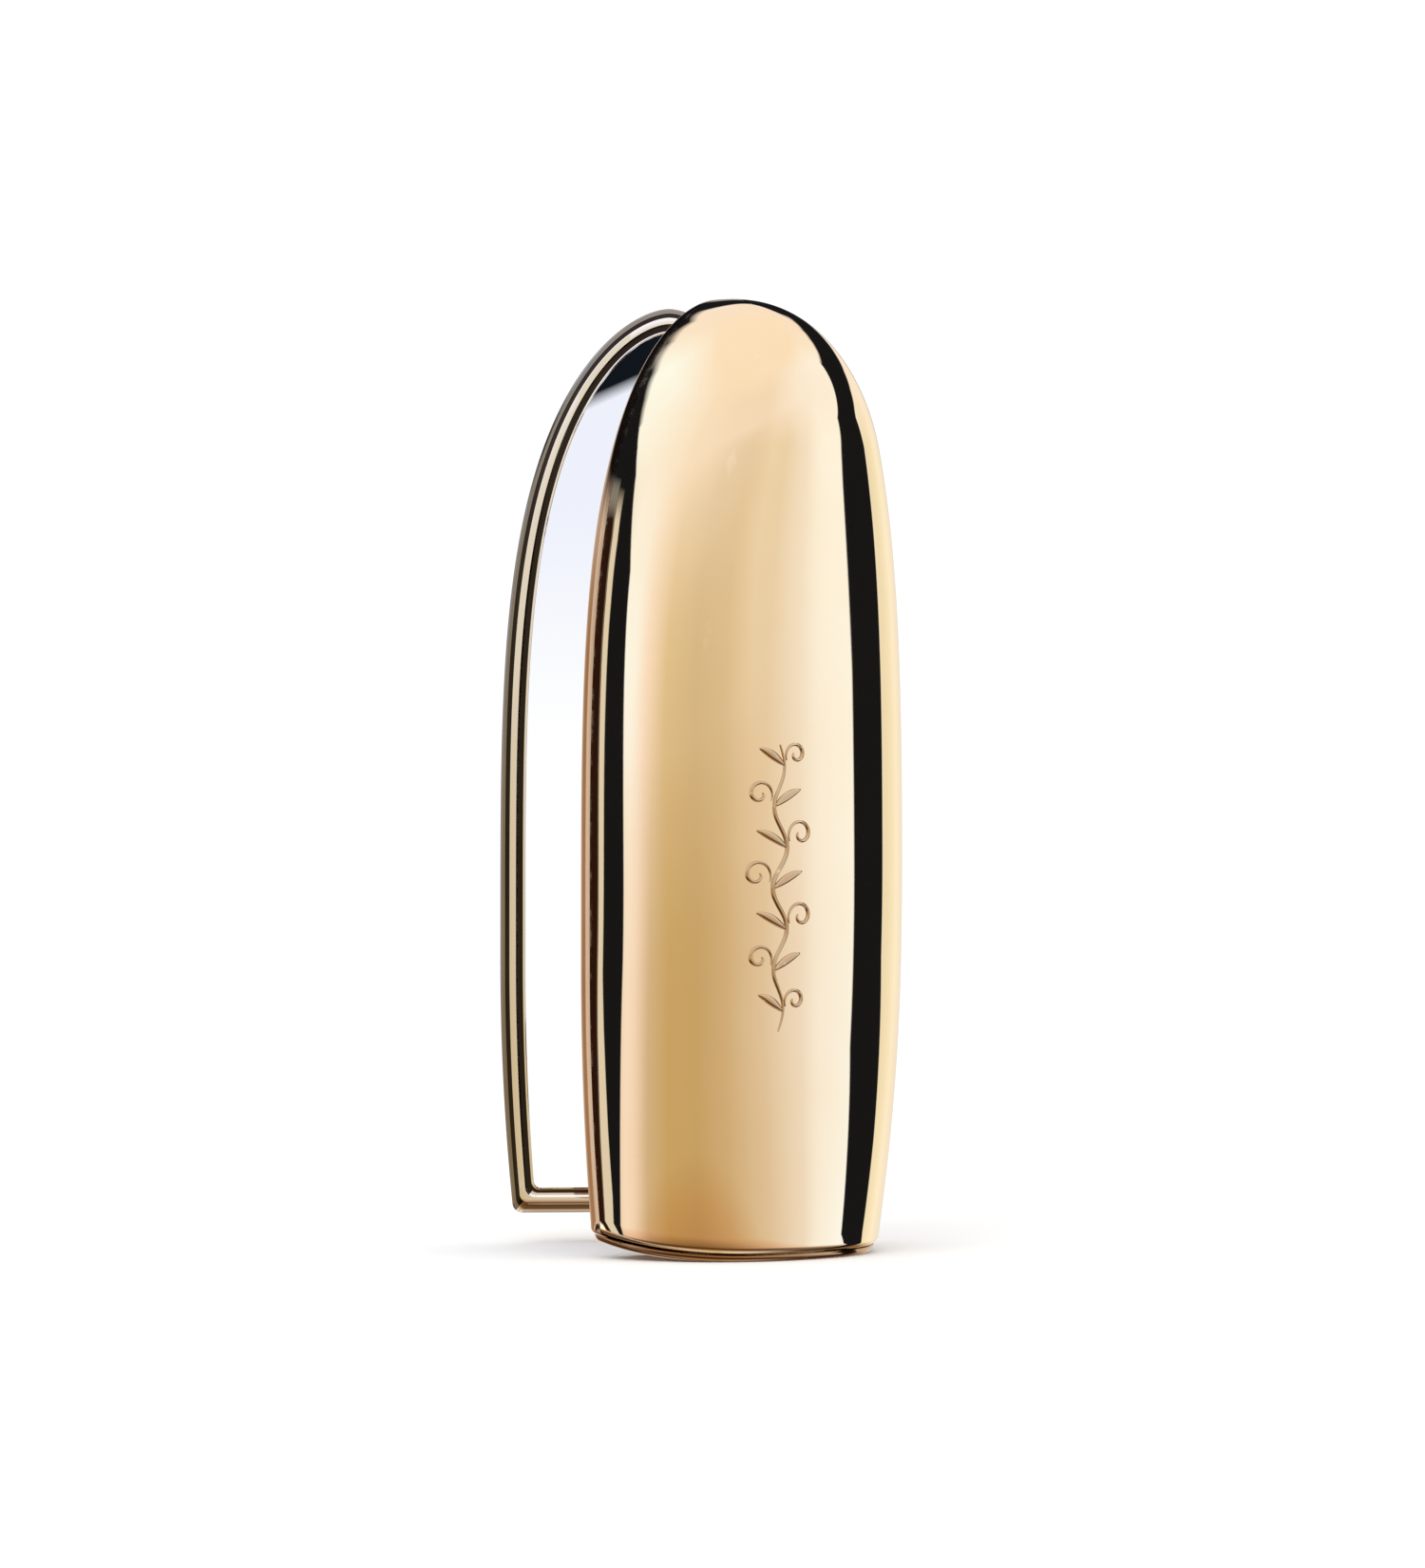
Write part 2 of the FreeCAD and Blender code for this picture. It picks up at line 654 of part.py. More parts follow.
def make_inner_tube():
    """Flanged tube with two straight slots that carry the cup's lugs round."""
    blank = turned_body("inner_tube_blank", (
        ("tube_inner", "tube_bottom"),
        ("tube_outer", "tube_bottom"),
        ("tube_outer", "flange_bottom"),
        ("tube_flange", "flange_bottom"),
        ("tube_flange", "tube_top"),
        ("tube_inner", "tube_top"),
    ))
    reach = "lug_radius + lug_play"
    slot = box("inner_tube_slots",
               ("-1 * tube_flange - cut_past", f"-1 * ( {reach} )", f"lug_height - ( {reach} )"),
               ("tube_flange + cut_past", reach, f"lug_height + lift + {reach}"))
    cut("inner_tube", blank, slot)


def make_cup():
    """Cup with its two lugs, and the stick of lipstick in it."""
    blank = turned_body("bullet_cup_blank", (
        ("0", "cup_bottom"),
        ("cup_outer", "cup_bottom"),
        ("cup_outer", "cup_top"),
        ("cup_inner", "cup_top"),
        ("cup_inner", "cup_bottom + cup_floor"),
        ("0", "cup_bottom + cup_floor"),
    ))
    lugs = []
    root = size("cup_inner") + size("lug_root")
    for i, side in enumerate((1, -1)):
        lug = doc.addObject("Part::Cylinder", f"cup_lug_{i}")
        bind(lug, Radius="lug_radius", Height="lug_reach - cup_inner - lug_root")
        lug.Placement = FreeCAD.Placement(FreeCAD.Vector(side * root, 0, size("lug_height")),
                                          FreeCAD.Rotation(FreeCAD.Vector(0, 1, 0), side * 90))
        lugs.append(lug)
    fuse("bullet_cup", [blank] + lugs)
    stick = cylinder("bullet_stick", "bullet_radius", "cup_bottom + cup_floor + foot_gap", "bullet_tip")
    slant = doc.addObject("Part::Box", "bullet_slant_box")
    bind(slant, Length="2 * trim_reach", Width="2 * trim_reach", Height="trim_reach")
    lean = math.degrees(math.atan2(size("bullet_slant"), 2 * size("bullet_radius")))
    hinge = FreeCAD.Vector(0, -size("bullet_radius"), size("bullet_tip") - size("bullet_slant"))
    tilt = FreeCAD.Rotation(FreeCAD.Vector(1, 0, 0), lean)
    corner = FreeCAD.Vector(size("trim_reach"), size("trim_reach") / 2, 0)
    slant.Placement = FreeCAD.Placement(hinge - tilt.multVec(corner), tilt)
    cut("lipstick_bullet", stick, slant)


# ---- build, check and export ----------------------------------------------------------------------

CASE = ("front_shell", "front_tray", "front_mirror", "front_mirror_tape", "chassis", "socket_liner",
        "case_hinge_leaf", "hinge_pin", "hinge_spring", "catch_magnet")
LID = ("rear_shell", "rear_tray", "rear_mirror", "rear_mirror_tape", "lid_hinge_leaf", "catch_strike")
REFILL = ("refill_sleeve", "cam_sleeve", "brake_ring")
BASE = ("foot_plate", "base_barrel", "inner_tube", "weight_slug", "base_o_ring", "shade_disc")
CUP = ("bullet_cup", "lipstick_bullet")


def check_document():
    """Stop if any feature failed."""
    for thing in doc.Objects:
        bad = [state for state in thing.State if state in ("Invalid", "Error")]
        if bad:
            raise RuntimeError(f"{thing.Label}: {bad}")


def export_nodes():
    """Write each sub-part to its own STEP file."""
    os.makedirs("parts", exist_ok=True)
    for node in CASE + LID + REFILL + BASE + CUP:
        shape = doc.getObject(node).Shape
        if shape.isNull() or not shape.isValid():
            raise RuntimeError(f"{node} has no valid shape")
        if len(shape.Solids) != 1:
            raise RuntimeError(f"{node} has {len(shape.Solids)} solids")
        shape.exportStep(os.path.join("parts", node + ".step"))
        print(f"{node:20s} {shape.Volume:10.2f} mm3")


fill_sheet()
make_front_half()
make_hinge_leaf("case_hinge_leaf", -1)
make_hinge_pin()
make_hinge_spring()
catch_cylinder("catch_magnet", -1, "magnet_radius")
lid_pieces = make_lid()
make_refill()
make_base()
make_cup()
doc.recompute()
open_lid(lid_pieces)
doc.recompute()
check_document()
export_nodes()
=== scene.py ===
import json
import math

import bmesh
import bpy
import numpy as np
from mathutils import Matrix, Vector


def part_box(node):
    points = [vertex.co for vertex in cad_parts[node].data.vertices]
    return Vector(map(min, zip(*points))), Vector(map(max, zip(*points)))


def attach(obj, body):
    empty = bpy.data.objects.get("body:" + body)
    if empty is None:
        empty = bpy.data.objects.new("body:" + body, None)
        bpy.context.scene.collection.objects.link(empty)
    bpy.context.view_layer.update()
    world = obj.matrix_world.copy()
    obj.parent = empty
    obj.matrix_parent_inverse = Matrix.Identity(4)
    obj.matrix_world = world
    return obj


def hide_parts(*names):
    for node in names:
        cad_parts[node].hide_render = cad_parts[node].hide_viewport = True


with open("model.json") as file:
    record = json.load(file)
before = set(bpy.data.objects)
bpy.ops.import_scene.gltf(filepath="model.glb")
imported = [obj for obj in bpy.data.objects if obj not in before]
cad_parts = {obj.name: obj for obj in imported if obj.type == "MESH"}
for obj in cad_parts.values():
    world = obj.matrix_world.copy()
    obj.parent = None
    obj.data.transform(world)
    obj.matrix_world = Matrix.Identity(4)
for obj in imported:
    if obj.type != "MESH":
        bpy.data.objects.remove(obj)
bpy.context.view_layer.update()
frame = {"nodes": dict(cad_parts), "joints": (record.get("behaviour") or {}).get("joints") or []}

MM = 0.001

# ---- sizes, in millimetres, read from the frame ----------------------------------------------------


def box_mm(node):
    """Lowest and highest corner of a CAD node at rest, in millimetres."""
    low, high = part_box(node)
    return np.array(low) / MM, np.array(high) / MM


HINGE = next(joint for joint in frame["joints"] if joint["name"] == "lid_hinge")
HINGE_POINT = np.array(HINGE["pos_m"]) / MM
REST_OPEN = math.radians(-HINGE["range_deg"][0])


def shut(points):
    """Turn points of the lid from where they rest back to the shut position."""
    return turn_about_hinge(points, REST_OPEN)


def opened(points):
    """Turn points of the shut lid to where they rest."""
    return turn_about_hinge(points, -REST_OPEN)


def turn_about_hinge(points, angle):
    """Turn points, in millimetres, about the lid's upright hinge axis."""
    cos, sin = math.cos(angle), math.sin(angle)
    moved = np.array(points, float)
    x = moved[..., 0] - HINGE_POINT[0]
    y = moved[..., 1] - HINGE_POINT[1]
    moved[..., 0] = HINGE_POINT[0] + cos * x - sin * y
    moved[..., 1] = HINGE_POINT[1] + sin * x + cos * y
    return moved


def shut_box(node):
    """Lowest and highest corner of a lid node with the lid shut."""
    points = np.array([v.co for v in frame["nodes"][node].data.vertices]) / MM
    points = shut(points)
    return points.min(0), points.max(0)


tray_low, tray_high = box_mm("front_tray")
shell_low, shell_high = box_mm("front_shell")
lid_tray_low, lid_tray_high = shut_box("rear_tray")
lid_shell_low, lid_shell_high = shut_box("rear_shell")
mirror_low, mirror_high = box_mm("front_mirror")
liner_low, liner_high = box_mm("socket_liner")
foot_low, foot_high = box_mm("foot_plate")
disc_low, disc_high = box_mm("shade_disc")
pin_low, pin_high = box_mm("hinge_pin")

HALF_WIDTH = -tray_low[0]
CASE_HEIGHT = 87.0
PARTING_Y = tray_high[1]
BODY_DEPTH = PARTING_Y - shell_low[1]
TRAY_THICK = tray_high[1] - tray_low[1]
LID_FACE_Y = lid_tray_low[1]
LID_DEPTH = lid_shell_high[1] - LID_FACE_Y
LID_BOTTOM = lid_tray_low[2]
RIM_WIDTH = mirror_low[2] - LID_BOTTOM
BORE_RADIUS = liner_high[0] + 0.02

# The rest of the outline's form: the same curves as the CAD's.
WIDEST_HEIGHT = 26.0
BOTTOM_NARROWING = 0.094
ARCH_RISE = 3.9
ARCH_SPREAD = 1.7
CROWN_SPREAD = 2.95
TOP_ROUNDING = 14.0
LID_ROUNDING = 8.0
DEEPEST_HEIGHT = 37.0
FRONT_TAPER = 0.08
SIDE_ROUNDNESS = 2.75
ROUNDNESS_LOSS = 0.5
SEAM = 0.03
WALL = 1.05
FLOOR_HEIGHT = 4.2
LAND_RADIUS = 8.5
CROWN_RADIUS = 18.0
CROWN_RISE = 2.8
FOOT_THINNING = 0.2
FOOT_THICK = 0.6
FOOT_GAP = 0.05
FOOT_CORNER = 0.9
FOOT_INSET = 0.25
CHANNEL_RADIUS = 1.05


def arch_width(height, inset=0.0):
    """Half width of the arched outline at each height, with the outline drawn in by inset."""
    height = np.asarray(height, float)
    full = HALF_WIDTH - inset
    drop = np.clip((WIDEST_HEIGHT - height) / WIDEST_HEIGHT, 0, None)
    low = full * (1 - BOTTOM_NARROWING * drop ** 2)
    rise = np.clip((height - WIDEST_HEIGHT) / (CASE_HEIGHT - inset - WIDEST_HEIGHT), 0, 1)
    high = full * (1 - rise ** ARCH_RISE) ** (1 / ARCH_SPREAD)
    return np.where(height <= WIDEST_HEIGHT, low, high)


def rounded_top(height, inset, rounding):
    """Share of the full depth left near the top."""
    start = CASE_HEIGHT - rounding
    rise = np.clip((np.asarray(height, float) - start) / (rounding - inset), 0, 1)
    return (1 - rise ** 2) ** (1 / CROWN_SPREAD)


def body_depth(height, inset=0.0):
    """Depth of the front half at each height."""
    height = np.asarray(height, float)
    below = np.clip(DEEPEST_HEIGHT - height, 0, None) / DEEPEST_HEIGHT
    taper = 1 - FRONT_TAPER * below ** 2
    return (BODY_DEPTH - inset) * taper * rounded_top(height, inset, TOP_ROUNDING)


def lid_depth(height, inset=0.0):
    """Depth of the lid at each height."""
    return (LID_DEPTH - inset) * rounded_top(height, inset, LID_ROUNDING)


def roundness(height):
    """Power of the superellipse that a level section follows."""
    below = np.clip(DEEPEST_HEIGHT - np.asarray(height, float), 0, None) / DEEPEST_HEIGHT
    return SIDE_ROUNDNESS - ROUNDNESS_LOSS * below ** 2


def crown_rise(radius, flatter=0.0):
    """Height of the crowned underside above its flat land, at a distance from the refill's axis."""
    reach = CROWN_RADIUS - LAND_RADIUS
    rise = CROWN_RISE - flatter
    curve = (reach ** 2 + rise ** 2) / (2 * rise)
    out = np.clip(np.asarray(radius, float) - LAND_RADIUS, 0, reach + 2)
    return curve - np.sqrt(curve ** 2 - out ** 2)


def shell_underside(x, y):
    """Height of the underside of the shell and tray."""
    return FOOT_THICK + FOOT_GAP + crown_rise(np.hypot(x, y), FOOT_THINNING)


def top_where_depth_is(depth_of, depth, inset=0.0):
    """Height near the top where a half is just as deep as asked."""
    low, high = CASE_HEIGHT - TOP_ROUNDING, CASE_HEIGHT - inset
    for _ in range(60):
        middle = (low + high) / 2
        if depth_of(middle, inset) > depth:
            low = middle
        else:
            high = middle
    return low


# ---- mesh helpers ---------------------------------------------------------------------------------

class Sheet:
    """Collects points, in millimetres, and faces for one piece."""

    def __init__(self):
        self.points = []
        self.faces = []

    def add(self, rows):
        """Add a grid or a row of points and return their numbers in the same shape."""
        rows = np.asarray(rows, float)
        first = len(self.points)
        self.points.extend(rows.reshape(-1, 3))
        return np.arange(first, len(self.points)).reshape(rows.shape[:-1])

    def grid(self, numbers, flip=False):
        """Quads over a grid of point numbers."""
        a, b = numbers[:-1, :-1], numbers[:-1, 1:]
        c, d = numbers[1:, 1:], numbers[1:, :-1]
        quads = np.stack([a, b, c, d], -1).reshape(-1, 4)
        if flip:
            quads = quads[:, ::-1]
        self.faces.extend(quads.tolist())

    def ring(self, one, two, flip=False):
        """Quads between two closed loops of the same length."""
        rows = np.array([list(one) + [one[0]], list(two) + [two[0]]])
        self.grid(rows, flip)

    def face(self, loop):
        """One flat face."""
        self.faces.append([int(n) for n in loop])


def make_piece(name, sheet, sharp_degrees=40, move=None, material_numbers=None):
    """Turn a sheet into a smooth-shaded closed mesh object; material_numbers holds a material number per face.
    """
    points = np.array(sheet.points)
    if move is not None:
        points = move(points)
    mesh = bpy.data.meshes.new(name)
    mesh.from_pydata((points * MM).tolist(), [], sheet.faces)
    if material_numbers:
        mesh.polygons.foreach_set("material_index", material_numbers)
    shape = bmesh.new()
    shape.from_mesh(mesh)
    bmesh.ops.remove_doubles(shape, verts=shape.verts, dist=1e-7)
    bmesh.ops.dissolve_degenerate(shape, edges=shape.edges, dist=1e-8)
    bmesh.ops.recalc_face_normals(shape, faces=shape.faces)
    bmesh.ops.triangulate(shape, faces=[f for f in shape.faces if len(f.verts) > 4])
    shape.to_mesh(mesh)
    shape.free()
    for polygon in mesh.polygons:
        polygon.use_smooth = True
    mesh.set_sharp_from_angle(angle=math.radians(sharp_degrees))
    thing = bpy.data.objects.new(name, mesh)
    bpy.context.scene.collection.objects.link(thing)
    return thing


def finish_piece(thing, body, node, slot, *materials):
    """Join a piece to its body, give it its materials and hide the CAD node that it stands for. The slot
    argument is not used.
    """
    for material in materials:
        thing.data.materials.append(material)
    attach(thing, body)
    if node:
        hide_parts(node)
    return thing


# ---- the two shells -------------------------------------------------------------------------------

SHELL_COLUMNS = 144
SIDE_ROWS = 84
TOP_ROWS = 64
EDGE_STEPS = 6
BACK_STEPS = 14


def section_points(height, share, inset, depth_of, face_y, side, start):
    """Points of a level section, share going from 0 at the -X edge round to 1 at the +X edge."""
    power = 2 / roundness(height)
    deep = depth_of(height, inset)
    first = np.arcsin(np.clip(start / deep, 0, 1) ** (1 / power))
    angle = first + (math.pi - 2 * first) * share
    cos, sin = np.cos(angle), np.sin(angle)
    x = -arch_width(height, inset) * np.sign(cos) * np.abs(cos) ** power
    y = face_y + side * deep * np.abs(sin) ** power
    return np.stack([x, y, height + 0 * x], -1)


def shell_rows(bottom, inset, depth_of, face_y, side, start):
    """Grid of a shell's surface from its bottom edge to its top; bottom holds a height per column."""
    share = np.linspace(0, 1, SHELL_COLUMNS + 1)
    top = top_where_depth_is(depth_of, start * 1.0003, inset)
    shoulder = CASE_HEIGHT - TOP_ROUNDING
    rows = []
    for step in range(SIDE_ROWS):
        height = bottom + (shoulder - bottom) * step / SIDE_ROWS
        rows.append(section_points(height, share, inset, depth_of, face_y, side, start))
    for step in range(TOP_ROWS + 1):
        rise = math.sin(math.pi / 2 * step / TOP_ROWS)
        height = np.full(share.shape, shoulder + (top - shoulder) * rise)
        rows.append(section_points(height, share, inset, depth_of, face_y, side, start))
    return np.array(rows)


def edge_rows(bottom, radius, depth_of, face_y, side, start):
    """Rows of the small round at a shell's bottom edge, from under the shell up to its side."""
    share = np.linspace(0, 1, SHELL_COLUMNS + 1)
    rows = []
    for step in range(EDGE_STEPS):
        angle = math.pi / 2 * (1 - step / EDGE_STEPS)
        height = bottom + radius * (1 - math.sin(angle))
        inset = radius * (1 - math.cos(angle))
        rows.append(section_points(height, share, inset, depth_of, face_y, side, start))
    return np.array(rows)


def bottom_heights(depth_of, face_y, side, start, lift):
    """Height at which each column meets the crowned underside."""
    share = np.linspace(0, 1, SHELL_COLUMNS + 1)
    height = np.full(share.shape, 1.0)
    for _ in range(20):
        points = section_points(height, share, 0.0, depth_of, face_y, side, start)
        height = shell_underside(points[:, 0], points[:, 1]) + lift
    return height


def build_front_shell():
    """The polished front shell: crowned outside, hollow inside, with the refill's bore in its floor."""
    face_y, side, start = PARTING_Y, -1, TRAY_THICK + SEAM
    radius = 0.6
    low = bottom_heights(body_depth, face_y, side, start, 0.0)
    outer = shell_rows(low + radius, 0.0, body_depth, face_y, side, start)
    edge = edge_rows(low, radius, body_depth, face_y, side, start)
    inner = shell_rows(np.full(low.shape, FLOOR_HEIGHT), WALL, body_depth, face_y, side, start)
    sheet = Sheet()
    skin = sheet.add(np.concatenate([edge, outer]))
    lining = sheet.add(inner)
    sheet.grid(skin)
    sheet.grid(lining, flip=True)
    sheet.face(skin[-1])
    sheet.face(lining[-1][::-1])
    for column in (0, -1):
        rows = np.stack([skin[EDGE_STEPS:, column], lining[:, column]])
        sheet.grid(rows, flip=column == 0)
    sheet.face([skin[-1, 0], skin[-1, -1], lining[-1, -1], lining[-1, 0]])
    # Floor: the crowned underside, the bore and the level floor inside.
    plane_y = face_y + side * start
    across = np.linspace(edge[0, -1, 0], edge[0, 0, 0], BACK_STEPS + 2)[1:-1]
    back = np.stack([across, np.full(across.shape, plane_y), shell_underside(across, plane_y)], -1)
    back_inside = np.stack([np.linspace(inner[0, -1, 0], inner[0, 0, 0], BACK_STEPS + 2)[1:-1],
                            np.full(across.shape, plane_y), np.full(across.shape, FLOOR_HEIGHT)], -1)
    back_low = sheet.add(back)
    back_high = sheet.add(back_inside)
    rim_low = np.concatenate([skin[0], back_low])
    rim_high = np.concatenate([lining[0], back_high])
    sheet.face(list(skin[:EDGE_STEPS + 1, -1]) + [lining[0, -1]] + list(back_high) + [lining[0, 0]]
               + list(skin[:EDGE_STEPS + 1, 0][::-1]) + list(back_low[::-1]))
    outline = np.array([sheet.points[n] for n in rim_low])
    angles = np.arctan2(outline[:, 1], outline[:, 0])
    circle = np.stack([np.cos(angles), np.sin(angles)], -1) * BORE_RADIUS
    rings = [rim_low]
    for step in range(1, 7):
        mix = step / 6
        xy = outline[:, :2] * (1 - mix) + circle * mix
        z = shell_underside(xy[:, 0], xy[:, 1])
        rings.append(sheet.add(np.column_stack([xy, z])))
    for one, two in zip(rings[:-1], rings[1:]):
        sheet.ring(one, two, flip=True)
    bore_top = sheet.add(np.column_stack([circle, np.full(len(circle), FLOOR_HEIGHT)]))
    sheet.ring(rings[-1], bore_top, flip=True)
    sheet.ring(bore_top, rim_high, flip=True)
    return make_piece("front_shell_polished", sheet)


def build_rear_shell():
    """The lid's polished back."""
    face_y, side, start = LID_FACE_Y, 1, TRAY_THICK + SEAM
    radius = 0.45
    low = np.full(SHELL_COLUMNS + 1, LID_BOTTOM)
    outer = shell_rows(low + radius, 0.0, lid_depth, face_y, side, start)
    edge = edge_rows(low, radius, lid_depth, face_y, side, start)
    inner = shell_rows(low + WALL, WALL, lid_depth, face_y, side, start)
    sheet = Sheet()
    skin = sheet.add(np.concatenate([edge, outer]))
    lining = sheet.add(inner)
    sheet.grid(skin)
    sheet.grid(lining, flip=True)
    sheet.face(skin[-1])
    sheet.face(lining[-1][::-1])
    sheet.face(skin[0][::-1])
    sheet.face(lining[0])
    for column in (0, -1):
        rows = np.stack([skin[EDGE_STEPS:, column], lining[:, column]])
        sheet.grid(rows, flip=column == 0)
    sheet.face([skin[-1, 0], skin[-1, -1], lining[-1, -1], lining[-1, 0]])
    sheet.face(list(skin[:EDGE_STEPS + 1, -1]) + [lining[0, -1], lining[0, 0]]
               + list(skin[:EDGE_STEPS + 1, 0][::-1]))
    return make_piece("rear_shell_polished", sheet, move=opened)


# ---- trays and mirrors ----------------------------------------------------------------------------

FLOOR_POINTS = 10
CORNER_POINTS = 7
SIDE_POINTS = 26
ARCH_POINTS = 70


def arch_loop(depth, inset, corner, depth_of, face_y, side, floor_of):
    """Closed loop around a half at a depth behind its face, drawn in by inset, with rounded corners."""
    y = face_y + side * depth
    top = top_where_depth_is(depth_of, depth, inset) if depth > 0 else CASE_HEIGHT - inset

    def reach(height):
        power = roundness(height)
        ratio = np.clip(depth / np.maximum(depth_of(height, inset), 1e-6), 0, 1)
        return arch_width(height, inset) * (1 - ratio ** power) ** (1 / power)

    foot = 1.0
    for _ in range(20):
        foot = float(floor_of(reach(foot), y)) + inset
    edge_x = float(reach(foot + corner))
    centre_x = edge_x - corner
    slope = float(floor_of(centre_x + 0.1, y) - floor_of(centre_x, y)) / 0.1
    lean = math.atan(slope)
    centre_z = float(floor_of(centre_x, y)) + inset + corner / math.cos(lean)
    floor_x = np.linspace(0, centre_x + corner * math.sin(lean), FLOOR_POINTS, endpoint=False)
    floor_z = floor_of(floor_x, y) + inset
    turn = np.linspace(lean - math.pi / 2, 0, CORNER_POINTS, endpoint=False)
    corner_x = centre_x + corner * np.cos(turn)
    corner_z = centre_z + corner * np.sin(turn)
    side_z = np.linspace(centre_z, WIDEST_HEIGHT, SIDE_POINTS, endpoint=False)
    climb = np.sin(np.linspace(0, math.pi / 2, ARCH_POINTS)) ** (2 / ARCH_RISE)
    up_z = np.concatenate([side_z, WIDEST_HEIGHT + (top - WIDEST_HEIGHT) * climb])
    x = np.concatenate([floor_x, corner_x, reach(up_z)])
    z = np.concatenate([floor_z, corner_z, up_z])
    x[-1] = 0.0
    right = np.stack([x, np.full(x.shape, y), z], -1)
    left = right[1:-1][::-1] * np.array([-1, 1, 1])
    return np.concatenate([right, left])


def level_floor(x, y):
    """The level bottom edge of the lid and of both mirror pockets."""
    return LID_BOTTOM + 0.0 * np.asarray(x, float)


# Material numbers: 0 is the rim's own gold; 1 and 2 are dark and grey metal for the lid rim's painted
# reflection bands and for the painted shade in the recess round its mirror.
GOLD, PAINTED_DARK_BAND, PAINTED_GREY_BAND = 0, 1, 2


def lid_rim_profile():
    """(depth, inset, corner, material number) steps of the lid's rim, from its outer back edge to the pocket's
    floor. The grey and dark outer bands are painted reflection, and the dark steps in the recess round the
    mirror are painted shade.
    """
    return [(TRAY_THICK, 0.0, 0.9, GOLD), (0.62, 0.0, 0.9, GOLD), (0.52, 0.02, 0.9, PAINTED_GREY_BAND),
            (0.30, 0.20, 0.9, PAINTED_GREY_BAND), (0.27, 0.46, 0.9, PAINTED_DARK_BAND), (0.03, 0.88, 0.9, GOLD),
            (0.0, 0.94, 0.9, GOLD), (0.0, 1.46, 0.95, PAINTED_DARK_BAND), (0.16, 1.64, 0.9, PAINTED_DARK_BAND),
            (0.16, 1.85, 0.88, PAINTED_DARK_BAND),
            (0.16, 2.12, 0.85, GOLD), (0.12, RIM_WIDTH, 0.85, GOLD), (0.95, RIM_WIDTH, 0.85, GOLD)]


def case_rim_profile():
    """The same for the front tray, whose outer edge is one full round."""
    steps = [(TRAY_THICK, 0.0, 0.3, GOLD), (1.3, 0.0, 0.3, GOLD)]
    for step in range(9):
        angle = math.pi / 2 * step / 8
        steps.append((0.9 * (1 - math.sin(angle)), 0.9 * (1 - math.cos(angle)), 0.3, GOLD))
    steps += [(0.0, 1.6, 0.95, GOLD), (0.29, 1.89, 0.9, GOLD), (0.08, 2.15, 0.85, GOLD)]
    steps += [(0.12, RIM_WIDTH, 0.85, GOLD), (0.95, RIM_WIDTH, 0.85, GOLD)]
    return steps


def build_tray(name, profile, depth_of, face_y, side, bottom_of, move=None):
    """A mirror tray: the rim swept round the arch, with the pocket's floor and a flat back."""
    sheet = Sheet()
    loops = []
    bands = []
    for depth, inset, corner, material_number in profile:
        lifted = level_floor if inset >= 1.4 else bottom_of
        loops.append(sheet.add(arch_loop(depth, inset, corner, depth_of, face_y, side, lifted)))
        bands.append((material_number, inset))
    material_numbers = []
    count = len(loops[0])
    low = FLOOR_POINTS + CORNER_POINTS // 2
    for i in range(len(loops) - 1):
        material_number, inset = bands[i]
        sheet.ring(loops[i], loops[i + 1], flip=side < 0)
        for j in range(count):
            # Along the bottom bar, bands with an inset under 1.8 mm keep the gold instead of the painted dark
            # and grey.
            along_bottom = min(j, count - 1 - j) < low
            material_numbers.append(GOLD if along_bottom and inset < 1.8 else material_number)
    fill_loop(sheet, loops[-1], flip=side < 0)
    fill_loop(sheet, loops[0], flip=side > 0)
    material_numbers += [GOLD] * (len(sheet.faces) - len(material_numbers))
    return make_piece(name, sheet, sharp_degrees=28, move=move, material_numbers=material_numbers)


def fill_loop(sheet, loop, flip):
    """Close a left-right symmetric loop with level strips."""
    count = len(loop)
    half = count // 2
    for i in range(half):
        a, b = loop[i], loop[i + 1]
        c, d = loop[(count - i - 1) % count], loop[(count - i) % count]
        corners = [a, b, c, d]
        unique = []
        for n in corners:
            if n not in unique:
                unique.append(n)
        if len(unique) > 2:
            sheet.face(unique[::-1] if flip else unique)


def cut_hinge_channel(tray):
    """Cut the round channel in a tray's edge in which the hinge turns."""
    middle = (pin_low + pin_high) / 2
    length = pin_high[2] - pin_low[2] + 0.2
    bpy.ops.mesh.primitive_cylinder_add(vertices=48, radius=CHANNEL_RADIUS * MM, depth=length * MM,
                                        location=middle * MM)
    cutter = bpy.context.object
    cut = tray.modifiers.new("channel", "BOOLEAN")
    cut.operation = "DIFFERENCE"
    cut.solver = "EXACT"
    cut.object = cutter
    bpy.context.view_layer.update()
    shape = bpy.data.meshes.new_from_object(tray.evaluated_get(bpy.context.evaluated_depsgraph_get()))
    tray.modifiers.clear()
    tray.data = shape
    shape.set_sharp_from_angle(angle=math.radians(28))
    bpy.data.objects.remove(cutter)


def build_mirror(name, depth_of, face_y, side, move=None):
    """Glass plate with a fine bevel round its face."""
    sheet = Sheet()
    near, far = 0.1, 0.88
    inset = RIM_WIDTH + SEAM
    steps = [(far, inset, 0.7), (near + 0.1, inset, 0.7), (near, inset + 0.1, 0.65)]
    loops = []
    for depth, drawn, corner in steps:
        loop = arch_loop(0.0, drawn, corner, depth_of, face_y, side, level_floor)
        loop[:, 1] = face_y + side * depth
        loops.append(sheet.add(loop))
    for one, two in zip(loops[:-1], loops[1:]):
        sheet.ring(one, two, flip=side < 0)
    fill_loop(sheet, loops[-1], flip=side < 0)
    fill_loop(sheet, loops[0], flip=side > 0)
    return make_piece(name, sheet, sharp_degrees=20, move=move)


# ---- foot plate -----------------------------------------------------------------------------------

